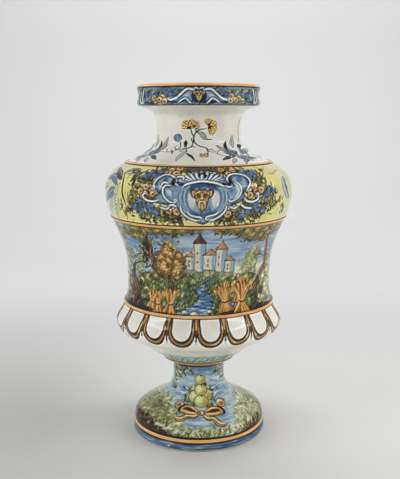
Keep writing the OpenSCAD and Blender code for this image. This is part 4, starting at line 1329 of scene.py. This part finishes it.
def stones_and_twigs(cv):
    """Pale stones among the tufts, and leaves that hang down the stem."""
    stones = ((-38, 17, 14, 224), (-28, 15, 16, 214), (-20, 13, 9, 226), (36, 17, 12, 228), (44, 22, 13, 222),
              (52, 19, 10, 216), (48, 30, 12, 206), (60, 34, 12, 214), (33, 12, 8, 216))
    for a, s, long, tone in stones:
        cv.dab(a, s, long, 3.6, cv.pick(-10, 30), rgb(tone, tone, tone - 14), soft=1.6, strength=0.8)
    twigs = [(-52, 95), (-60, 86), (-64, 74), (-46, 88), (46, 96), (54, 91), (64, 84), (-22, 97)]
    foliage(cv, twigs, (3.4, 3.4), 9, 4.6, tones=(OLIVE_DARK, OLIVE, rgb(156, 158, 92), rgb(208, 204, 148)))


print("ready to paint: banks, stones and twigs")

# %% [markdown]
# ## The bow and the fruit
# A ribbon shows its dark inside where a loop turns away, so every loop is a dark shape, a gold one in it
# and the hollow over both. The fruit are round dabs, lit at the upper left and shaded at the lower right.

# %% The bow and the fruit
def bow(cv, a, s):
    """A gold bow: two tails that wave outwards, two loops with dark insides, and the knot between them."""
    def half(shape, size=1.0):
        """A shape of one half of the bow, mirrored to its side, turned and set down."""
        return cv.placed(a, s, size, [(x * side, y) for x, y in shape], turn)

    gold, edge = rgb(204, 162, 104), SOOT
    for side, turn in ((-1, -7), (1, -3)):
        wave = [(2 * side, -1), (7 * side, -7), (14 * side, -8), (19 * side, -15), (26 * side, -16)]
        tail = cv.placed(a, s, 1, wave, turn * 2)
        cv.stroke(tail, 8.4, edge, ends=(0.5, 0.2))
        cv.stroke(tail, 6.0, gold, ends=(0.5, 0.2))
        cv.stroke(cv.moved(tail, 0, 1.2), 1.8, PEACH_LIGHT, ends=(0.4, 0.4))
        cv.stroke(cv.moved(tail, 0, -1.4), 1.4, UMBER, ends=(0.4, 0.5))
        loop = [(1, 0), (8, 7), (19, 9.5), (27, 5), (27, -2), (18, -4.5), (8, -3)]
        cv.patch(half(loop, 1.09), edge)
        cv.patch(half(loop, 0.97), gold, rim=OCHRE, fade=2)
        hollow = [(7, 1.4), (14, 5.4), (21, 5.6), (24.5, 2.6), (19, 1.6), (13, 0.8)]
        cv.patch(half(hollow), rgb(92, 56, 32), rim=edge, fade=1.5)
        folds = (([(6, 3.4), (14, 7.4), (22, 7.4)], PEACH_LIGHT, 1.3),
                 ([(6, -0.6), (15, -1.2), (24, 0)], PEACH_LIGHT, 2.2),
                 ([(9, -2.4), (17, -3.4), (24, -1.8)], UMBER, 1.2), ([(4, 0.4), (9, 0.6)], UMBER, 1.0))
        for points, tone, width in folds:
            cv.stroke(half(points), width, tone, ends=(0.4, 0.5), strength=0.9)
    cv.dab(a, s + 0.5, 9.5, 8, 0, edge)
    cv.dab(a, s + 0.5, 7.2, 5.8, 0, gold)
    cv.stroke(cv.placed(a, s, 1, [(-1.6, -1.5), (-1.2, 1), (-1.8, 3)]), 1.2, UMBER)
    cv.stroke(cv.placed(a, s, 1, [(1, -1), (1.2, 1.5), (0.8, 3)]), 1.6, PEACH_LIGHT)


def fruit_spray(cv):
    """Pale fruit among leaves, blue plumes and a rose at each side, and the gold bow below."""
    plumes = ((20, 61, 14, 30), (25, 67, 26, 30), (24, 55, 2, 28), (34, 62, 12, 22))
    for side in (-1, 1):
        for k, (a, s, turn, length) in enumerate(plumes):
            quill = [(-side * length / 2, -3), (0, 2.5), (side * length / 2, 0)]
            plume = cv.placed(3 + side * a, s, 1, quill, side * turn)
            cv.stroke(plume, 9, COBALT if k == 1 else COBALT_MID, ends=(0.3, 0.5), strength=0.85)
            cv.stroke(plume, 7.2, rgb(176, 194, 204), ends=(0.3, 0.5), strength=0.9)
            for shift in (-1.6, 0.2, 1.8):
                cv.stroke(cv.moved(plume, 0, shift), 0.9, WHITE if shift > 1 else COBALT, strength=0.7)
    foliage(cv, [(-10, 70), (16, 72), (3, 77), (-8, 55), (16, 54), (-16, 62), (22, 62)], (4, 3.4), 11, 5.4,
            tones=(OLIVE_DARK, OLIVE, rgb(150, 156, 92), LEAF_PALE))
    for a, s, size in ((-5, 63, 18), (12, 65, 18), (4, 71, 16), (4, 57, 18), (3, 84, 13)):
        cv.dab(a, s, size * 0.96, size * 1.02, 90, rgb(92, 84, 46), strength=0.9)
        cv.dab(a, s, size * 0.84, size * 0.9, 90, rgb(196, 194, 126))
        cv.dab(*cv.beside(a, s, -size * 0.12, size * 0.1), size * 0.5, size * 0.44, 80, rgb(228, 226, 176),
               soft=2.5)
        cv.dab(*cv.beside(a, s, size * 0.22, -size * 0.16), size * 0.44, size * 0.2, 50, rgb(168, 142, 84),
               soft=2.2, strength=0.8)
        cv.stroke([cv.beside(a, s, size * 0.1, size * 0.3), cv.beside(a, s, 0, size * 0.46)], 1.4, BROWN)
    rose(cv, 34, 52, 12)
    rose(cv, -28, 50, 11)
    bow(cv, 3, 40)


print("ready to paint: a gold bow and a pile of fruit")

# %% [markdown]
# ## The foot from back to front
# Water and clouds lie at the back, the banks before them, and the fruit with its bow in front. The orange
# line at the edge is drawn on the wheel at the end, as the painter closes each section with a line.

# %% Painting the foot
water(foot)
front_and_back(foot, clouds)
banks(foot)
front_and_back(foot, stones_and_twigs)
front_and_back(foot, fruit_spray)
foot.band(-1, 5.6, ORANGE)
foot.band(1.6, 3.6, rgb(242, 192, 124), wobble=0.3, strength=0.9)
foot.band(5.2, 8.0, rgb(34, 22, 22), wobble=0.2)
foot.band(101, 110, rgb(48, 60, 84), strength=0.8)
print("the foot's canvas has", foot.rgb.shape[0], "rows and", foot.columns, "columns")

# %% [markdown]
# ## From canvas to mesh
# Each section becomes one closed mesh: the outer line goes up, the inner line comes down, and the whole
# loop is turned round the axis. A point at radius r, height z and azimuth a lies at
# (r sin a, -r cos a, z), so azimuth 0 looks along -Y. The canvas has one value for every outer point, so
# its colours go straight onto the mesh, and the paint's thickness moves each point by a hair.

# %% From canvas to mesh
WALL_WHITE = rgb(222, 219, 208)
BUFF = rgb(196, 170, 136)
PAINT_HEIGHT = 0.12
FIRED = 1.14
STRING_HALF, STRING_PROUD, STRING_SUNK, STRING_BACK = 1.8, 0.9, 0.05, 0.6


def linear(colour):
    """Screen values to the linear values that Blender reckons with: ((c + 0.055) / 1.055) ** 2.4."""
    return np.where(colour <= 0.04045, colour / 12.92, ((colour + 0.055) / 1.055) ** 2.4)


def revolved(line, columns, closed):
    """Quads of a turned line: they join row i to row i + 1, and a closed line's last row to its first."""
    rows = len(line)
    i = np.arange(rows if closed else rows - 1)[:, None]
    j = np.arange(columns)[None]
    up, beyond = (i + 1) % rows, (j + 1) % columns
    quads = np.stack([i * columns + j, i * columns + beyond, up * columns + beyond, up * columns + j],
                     axis=-1)
    return quads.reshape(-1, 4)


def add_mesh(name, points, quads, colours, poles=()):
    """A smooth mesh object from arrays. A fan of triangles closes each of the poles, which are given as
    (centre point, ring of point numbers, colour)."""
    extra = np.array([pole[0] for pole in poles], float).reshape(-1, 3)
    triangles = []
    for k, (_, ring, _) in enumerate(poles):
        centre = np.full(len(ring), len(points) + k)
        triangles.append(np.column_stack([ring, np.roll(ring, -1), centre]))
    triangles = np.vstack(triangles) if triangles else np.zeros((0, 3), int)
    every_point = np.vstack([points, extra])
    mesh = bpy.data.meshes.new(name)
    mesh.vertices.add(len(every_point))
    mesh.vertices.foreach_set("co", every_point.ravel())
    corners = np.r_[quads.ravel(), triangles.ravel()].astype(np.int32)
    mesh.loops.add(len(corners))
    mesh.loops.foreach_set("vertex_index", corners)
    starts = np.r_[np.arange(len(quads)) * 4, len(quads) * 4 + np.arange(len(triangles)) * 3]
    mesh.polygons.add(len(starts))
    mesh.polygons.foreach_set("loop_start", starts.astype(np.int32))
    mesh.update(calc_edges=True)
    mesh.polygons.foreach_set("use_smooth", np.ones(len(starts), bool))
    mesh.set_sharp_from_angle(angle=math.radians(40))
    layer = mesh.color_attributes.new("glaze", "FLOAT_COLOR", "POINT")
    every_colour = np.vstack([colours] + [[pole[2]] for pole in poles])
    rgba = np.column_stack([linear(every_colour), np.ones(len(every_colour))]).astype(np.float32)
    layer.data.foreach_set("color", rgba.ravel())
    mesh.color_attributes.active_color = layer
    piece = bpy.data.objects.new(name, mesh)
    bpy.context.scene.collection.objects.link(piece)
    return piece


print("a screen value of 0.5 is", round(float(linear(np.array(0.5))), 3), "in linear light")

# %% [markdown]
# ## Turned walls and strings
# Every piece of the vase is turned, so one function builds them all from an outer line and an inner line.
# The raised strings over the seams are half ellipses that stand on the wall and follow its lean.

# %% Turned walls and strings
def crisp(paint, share=0.8):
    """The paint with sharper strokes: every cell moves away from the mean colour round it by a share."""
    soft = paint
    for _ in range(2):
        soft = (np.roll(soft, 1, axis=1) + 2 * soft + np.roll(soft, -1, axis=1)) / 4
        soft = (np.concatenate([soft[:1], soft[:-1]]) + 2 * soft + np.concatenate([soft[1:], soft[-1:]])) / 4
    return np.clip(paint + share * (paint - soft), 0, 1)


def turned(name, outer, inner, columns, outer_colour, inner_colour, relief=None, poles=False):
    """A turned piece: outer line up, inner line down. Its relief pushes the outer points along the normal."""
    line = np.vstack([outer, inner])
    a = (-180 + 360 * np.arange(columns) / columns) * DEG
    r = np.repeat(line[:, :1], columns, axis=1)
    z = np.repeat(line[:, 1:], columns, axis=1)
    if relief is not None:
        along = np.gradient(outer, axis=0)
        along /= np.hypot(*along.T)[:, None]
        depth = PAINT_HEIGHT * (np.clip(relief, 0, 0.25) * 4 - 1)
        r[: len(outer)] += depth * along[:, 1:]
        z[: len(outer)] -= depth * along[:, :1]
    points = np.stack([r * np.sin(a), -r * np.cos(a), z], axis=-1).reshape(-1, 3) * MM
    colours = np.empty((len(line), columns, 3))
    colours[: len(outer)] = crisp(np.asarray(outer_colour)) ** FIRED
    colours[len(outer):] = inner_colour
    ends = []
    if poles:
        last = (len(line) - 1) * columns
        ends = [((0, 0, line[0, 1] * MM), np.arange(columns)[::-1], BUFF),
                ((0, 0, line[-1, 1] * MM), last + np.arange(columns), inner_colour)]
    piece = add_mesh(name, points, revolved(line, columns, not poles), colours.reshape(-1, 3), ends)
    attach(piece, "root")
    return piece


def string_line(station, above):
    """Half ellipse over the wall, above mm up from a station, and the back that lies in the wall."""
    along = upward(station)
    normal = np.array([along[1], -along[0]])
    turn = np.radians(np.linspace(-90, 90, 15))[:, None]
    middle = np.array(station[:2]) + above * along
    rise = STRING_PROUD * np.cos(turn) - STRING_SUNK
    outer = middle + STRING_HALF * np.sin(turn) * along + rise * normal
    back = middle + np.array([[STRING_HALF], [0.0], [-STRING_HALF]]) * along - STRING_BACK * normal
    return outer, back


print("a point on the wall is moved by at most", PAINT_HEIGHT, "mm for the thickness of its paint")

# %% [markdown]
# ## The pieces of the vase
# Now every section gets its mesh and takes the place of the plain section of the frame. The base ring, the
# strings over the seams and the coil under the bowl get small canvases of their own.

# %% The pieces of the vase
pieces = []


def stand_in(piece, node):
    """The piece takes the place of that node: the node's plain part is hidden and the piece joins the list.
    """
    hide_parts(node)
    pieces.append(piece)


for section, canvas in (("foot", foot), ("drum", drum), ("shoulder", shoulder), ("neck", neck),
                        ("collar", collar)):
    outer, inner = lines[section]
    piece = turned(section + "_painted", outer, inner, canvas.columns, canvas.rgb, WALL_WHITE, canvas.relief)
    stand_in(piece, section)

BOWL_UNDER, BOWL_FLOOR, NEAR_AXIS = 90.35, 97.2, 2.0
outer, inner = lines["bowl"]
bowl_inside = np.vstack([inner, evenly(np.array([inner[-1], [NEAR_AXIS, BOWL_FLOOR]]), INNER_ROW)[1:]])
underside = np.array([[NEAR_AXIS, BOWL_UNDER], [20.0, BOWL_UNDER], [40.6, BOWL_UNDER]])
bowl_colour = np.concatenate([np.tile(BUFF, (len(underside), bowl.columns, 1)), bowl.rgb])
bowl_relief = np.vstack([np.full((len(underside), bowl.columns), 0.25), bowl.relief])
piece = turned("bowl_painted", np.vstack([underside, outer]), bowl_inside, bowl.columns, bowl_colour,
               WALL_WHITE, bowl_relief, poles=True)
stand_in(piece, "bowl")

base = Canvas(lines["base_ring"][0], 600, rgb(100, 132, 152), seed=15)
blues = ((3, rgb(142, 168, 180)), (2, rgb(190, 204, 208)), (2.4, rgb(48, 80, 116)), (1.6, rgb(84, 96, 136)))
for size, tone in blues:
    base.mottle(tone, size, 8, 3.4, 1.8, 0.8)
base.band(-1, 4.6, CREAM, wobble=0.3)
base.band(4.4, 5.6, COBALT_DARK, soft=1.0, wobble=0.3, strength=0.6)
base.band(12.2, 13.5, COBALT_DARK)
for chip_a, chip_s, chip_size in ((-25, 8, 3.2), (38, 3, 2.4), (-70, 5, 2.0), (142, 6, 3.0)):
    base.dab(chip_a, chip_s, chip_size, chip_size * 0.6, 15, CREAM)
piece = turned("base_ring_painted", *lines["base_ring"], base.columns, base.rgb, BUFF, base.relief)
stand_in(piece, "base_ring")

SEAMS = {
    "foot_string": (BELL_LOW, STRING_HALF),
    "bowl_string": (BOWL_EDGE, STRING_HALF),
    "belt_string": (BELT_SEAM, 0.0),
    "shoulder_string": (DRUM_SEAM, 0.0),
    "neck_string": (NECK_SEAM, 0.0),
}
for number, (node, (station, above)) in enumerate(SEAMS.items()):
    outer, back = string_line(station, above)
    ring = Canvas(outer, 480, ORANGE, seed=20 + number)
    ring.mottle(rgb(246, 216, 160), 3, 9, 2.4, 1.2, 0.7)
    ring.mottle(ORANGE_DEEP, 2.5, 7, 2, 0.9, 0.7)
    if node == "foot_string":
        ring.band(-1, 1.3, rgb(84, 112, 142))
        ring.band(1.2, 2.4, OUTLINE)
    else:
        ring.band(-1, 0.5, OUTLINE)
        ring.band(ring.s[-1] - 0.5, 9, OUTLINE)
    stand_in(turned(node + "_painted", outer, back, ring.columns, ring.rgb, ORANGE_DEEP), node)

COIL_MIDDLE, COIL_ROUND, COIL_TOP = (37.1, 84.8), 5.4, 90.3
coil = arc(COIL_MIDDLE, COIL_ROUND, COIL_ROUND, 180, 90, steps=10)
coil_back = np.array([[34.4, COIL_TOP], [31.5, COIL_TOP], [31.5, 87.0]])
ring = Canvas(coil, 480, COBALT_DARK, seed=30)
ring.mottle(COBALT, 3, 5, 2, 0.8, 0.7)
ring.band(ring.s[-1] - 1.4, 12, OUTLINE)
stand_in(turned("stem_coil_painted", coil, coil_back, ring.columns, ring.rgb, BUFF), "stem_coil")
counts = {piece.name: sum(len(face.vertices) - 2 for face in piece.data.polygons) for piece in pieces}
print(len(pieces), "pieces,", sum(counts.values()), "triangles, at most", max(counts.values()), "in one")

# %% [markdown]
# ## Tin glaze
# The glaze is a glass that holds fine specks of tin oxide, so it covers the clay and shines. The material
# takes the painted colour from the mesh and varies it slightly, as the coat is uneven. The surface is
# smooth but not flat: low waves bend its reflections, and a few pinholes break them.

# %% The glaze material
def glaze_material(name, roughness=0.13):
    """Painted tin glaze: the colours of the mesh with slight unevenness, a shine, low waves and pinholes."""
    material = bpy.data.materials.new(name)
    material.use_nodes = True
    nodes, links = material.node_tree.nodes, material.node_tree.links
    shader = nodes["Principled BSDF"]
    shader.inputs["Roughness"].default_value = roughness
    shader.inputs["IOR"].default_value = 1.4
    place = nodes.new("ShaderNodeTexCoord")
    paint = nodes.new("ShaderNodeAttribute")
    paint.attribute_name = "glaze"

    def noise(scale, detail=2.0, stretch=(1, 1, 1)):
        """A noise pattern fixed to the object; scale counts its waves in a metre."""
        mapping = nodes.new("ShaderNodeMapping")
        mapping.inputs["Scale"].default_value = stretch
        pattern = nodes.new("ShaderNodeTexNoise")
        pattern.inputs["Scale"].default_value = scale
        pattern.inputs["Detail"].default_value = detail
        links.new(place.outputs["Object"], mapping.inputs["Vector"])
        links.new(mapping.outputs["Vector"], pattern.inputs["Vector"])
        return pattern.outputs["Fac"]

    def ranged(value, low, high, start, end):
        """The value from low to high, stretched to run from start to end."""
        node = nodes.new("ShaderNodeMapRange")
        for socket, number in (("From Min", low), ("From Max", high), ("To Min", start), ("To Max", end)):
            node.inputs[socket].default_value = number
        links.new(value, node.inputs["Value"])
        return node.outputs["Result"]

    tone = nodes.new("ShaderNodeHueSaturation")
    links.new(paint.outputs["Color"], tone.inputs["Color"])
    links.new(ranged(noise(55, 3), 0.3, 0.7, 0.95, 1.05), tone.inputs["Value"])
    pits = ranged(noise(900, 1), 0.22, 0.3, 0.45, 0.0)
    speck = nodes.new("ShaderNodeMix")
    speck.data_type = "RGBA"
    speck.inputs["B"].default_value = (0.1, 0.075, 0.05, 1)
    links.new(pits, speck.inputs["Factor"])
    links.new(tone.outputs["Color"], speck.inputs["A"])
    links.new(speck.outputs["Result"], shader.inputs["Base Color"])
    links.new(ranged(noise(120, 2), 0.3, 0.7, roughness * 0.8, roughness * 1.5), shader.inputs["Roughness"])
    waves = nodes.new("ShaderNodeBump")
    waves.inputs["Strength"].default_value = 0.5
    waves.inputs["Distance"].default_value = 0.0012
    links.new(noise(38, 2, (1, 1, 1.7)), waves.inputs["Height"])
    grain = nodes.new("ShaderNodeBump")
    grain.inputs["Strength"].default_value = 0.25
    grain.inputs["Distance"].default_value = 0.0002
    links.new(noise(420, 2), grain.inputs["Height"])
    links.new(waves.outputs["Normal"], grain.inputs["Normal"])
    links.new(grain.outputs["Normal"], shader.inputs["Normal"])
    return material


glaze = glaze_material("tin_glaze")
for piece in pieces:
    piece.data.materials.append(glaze)
print("one glaze on", len(pieces), "pieces; the colours come from their canvases")

# %% [markdown]
# ## Room, light and camera
# The vase stands on a pale floor that curves up into a backdrop. Large soft lamps stand left and right,
# like two studio windows, and one hangs over the backdrop. A weak one lies flat on the floor in front and
# lights the underside of the bowl, as white paper would. Two narrow strips put the highlights on the glaze.
# The camera matches the photograph: its height and distance follow from how the rings of the vase open
# from the eye line downwards.

# %% Floor and backdrop
def painted_floor_light_and_shade(x, y):
    """Painted light and shade on the paper at x, y on the floor, where 1 is plain: painted shade at the left
    of the vase, behind it and under the window lamps, painted light at its right and in front, where it
    throws light up under the bowl, and evened out where it bends into the wall."""
    left = ramp(-x, 0.04, 0.24)
    near = bump(y + 0.02, 0.27)
    right = ramp(x, 0.03, 0.15) * bump(y - 0.06, 0.3)
    front = ramp(-y, 0.24, 0.54)
    behind = bump(y - 0.42, 0.34)
    bend = 0.05 * bump(y - 1.6, 0.22) - 0.055 * bump(y - 0.98, 0.25)
    spot = 0.09 * bump(x - 0.17, 0.09) * bump(y + 0.01, 0.09)
    corner = 0.07 * ramp(-x, 0.1, 0.25) * bump(y - 0.34, 0.14)
    beside_vase = 1.07 - 0.31 * left**2 * (3 - 2 * left) * near + 0.04 * right + spot - corner
    by_window = ramp(np.abs(x), 0.6, 1.2) * ramp(np.abs(x), 1.74, 1.68) * bump(y + 0.4, 0.6)
    return (1 + 0.3 * front) * beside_vase * (1 - 0.13 * behind) * (1 + bend) * (1 - 0.5 * by_window)


def backdrop():
    """A floor that turns up into a wall by a quarter circle of radius bend, with its tone, painted light and
    shade, on every point.
    """
    depth_front, depth_back, wide, high, bend = -1.3, 1.6, 3.2, 2.4, 0.7
    turn = np.radians(np.linspace(-90, 0, 25))
    curve = np.column_stack([depth_back + bend * np.cos(turn), bend + bend * np.sin(turn)])
    floor = np.column_stack([np.linspace(depth_front, depth_back, 60)[:-1], np.zeros(59)])
    profile = np.vstack([floor, curve, [[depth_back + bend, high]]])
    x = np.linspace(-wide, wide, 161)
    grid = np.stack([np.tile(x, (len(profile), 1)), np.repeat(profile[:, :1], len(x), 1),
                     np.repeat(profile[:, 1:], len(x), 1)], axis=-1)
    corner = (np.arange(len(profile) - 1)[:, None] * len(x) + np.arange(len(x) - 1)[None]).ravel()
    quads = np.column_stack([corner, corner + 1, corner + len(x) + 1, corner + len(x)])
    # Painted light and shade: the paper's tone carries the floor's shadow and its lit places.
    colour = PAPER[None] * painted_floor_light_and_shade(grid[..., 0], grid[..., 1]).reshape(-1, 1) ** (1 / 2.2)
    colour[:, 2] *= 1 - 0.02 * ramp(grid[..., 1].ravel(), 0.3, 0.1)
    return add_mesh("backdrop", grid.reshape(-1, 3), quads, colour)


PAPER = rgb(204, 203, 202)
sheet = backdrop()
paper = bpy.data.materials.new("paper")
paper.use_nodes = True
tone = paper.node_tree.nodes.new("ShaderNodeAttribute")
tone.attribute_name = "glaze"
shader = paper.node_tree.nodes["Principled BSDF"]
paper.node_tree.links.new(tone.outputs["Color"], shader.inputs["Base Color"])
shader.inputs["Roughness"].default_value = 0.9
shader.inputs["Specular IOR Level"].default_value = 0.1
sheet.data.materials.append(paper)
print("backdrop in place")

# %% Lights and camera
def area_lamp(name, place, target, size, watts, colour=(1, 1, 1), mirrored_in_glaze=False):
    """A soft oblong lamp that faces the target."""
    light = bpy.data.lights.new(name, "AREA")
    light.shape = "RECTANGLE"
    light.size, light.size_y = size
    light.energy = watts
    light.color = colour
    lamp = bpy.data.objects.new(name, light)
    lamp.location = place
    aim = np.array(target) - np.array(place)
    flat = math.hypot(aim[0], aim[1])
    lamp.rotation_euler = (math.atan2(flat, -aim[2]), 0, math.atan2(-aim[0], aim[1]))
    lamp.visible_glossy = mirrored_in_glaze
    bpy.context.scene.collection.objects.link(lamp)
    return lamp


area_lamp("window_left", (-1.6, -0.35, 0.4), (0, 0, 0.25), (1.0, 0.7), 10.4, (0.98, 0.99, 1.0))
area_lamp("window_right", (1.6, -0.4, 0.6), (0, 0, 0.2), (1.1, 1.0), 11.8, (1.0, 0.99, 0.97))
area_lamp("backdrop_lamp", (0.1, 0.5, 2.0), (0.1, 1.9, 0.5), (2.4, 0.6), 38.8, (0.965, 0.985, 1.0))
area_lamp("paper_card", (-0.05, -0.19, 0.004), (-0.05, -0.19, 1.0), (0.5, 0.14), 0.11)
for side in (-1, 1):
    area_lamp("strip", (side * 1.14, -0.61, 1.06), (0, 0, 0.16), (0.8, 0.1), 3.2, mirrored_in_glaze=True)
world = bpy.data.worlds.new("room")
bpy.context.scene.world = world
world.use_nodes = True
world.node_tree.nodes["Background"].inputs["Color"].default_value = (0.96, 0.97, 1.0, 1)
world.node_tree.nodes["Background"].inputs["Strength"].default_value = 0.4

CAMERA_PLACE, CAMERA_PITCH, LENS = (0.0017, -0.8451, 0.3877), 10.15, 53.1
lens = bpy.data.cameras.new("camera")
lens.sensor_fit = "AUTO"
lens.sensor_width = 36.0
lens.lens = LENS
camera = bpy.data.objects.new("camera", lens)
camera.location = CAMERA_PLACE
camera.rotation_euler = (math.radians(90 - CAMERA_PITCH), 0, 0)
bpy.context.scene.collection.objects.link(camera)
bpy.context.scene.camera = camera
bpy.context.scene.view_settings.view_transform = "Standard"
print("camera", round(-camera.location[1], 3), "m in front of the axis, lens", lens.lens, "mm")

# %% [markdown]
# ## The sizes
# The painted vase must be as large as the frame says.
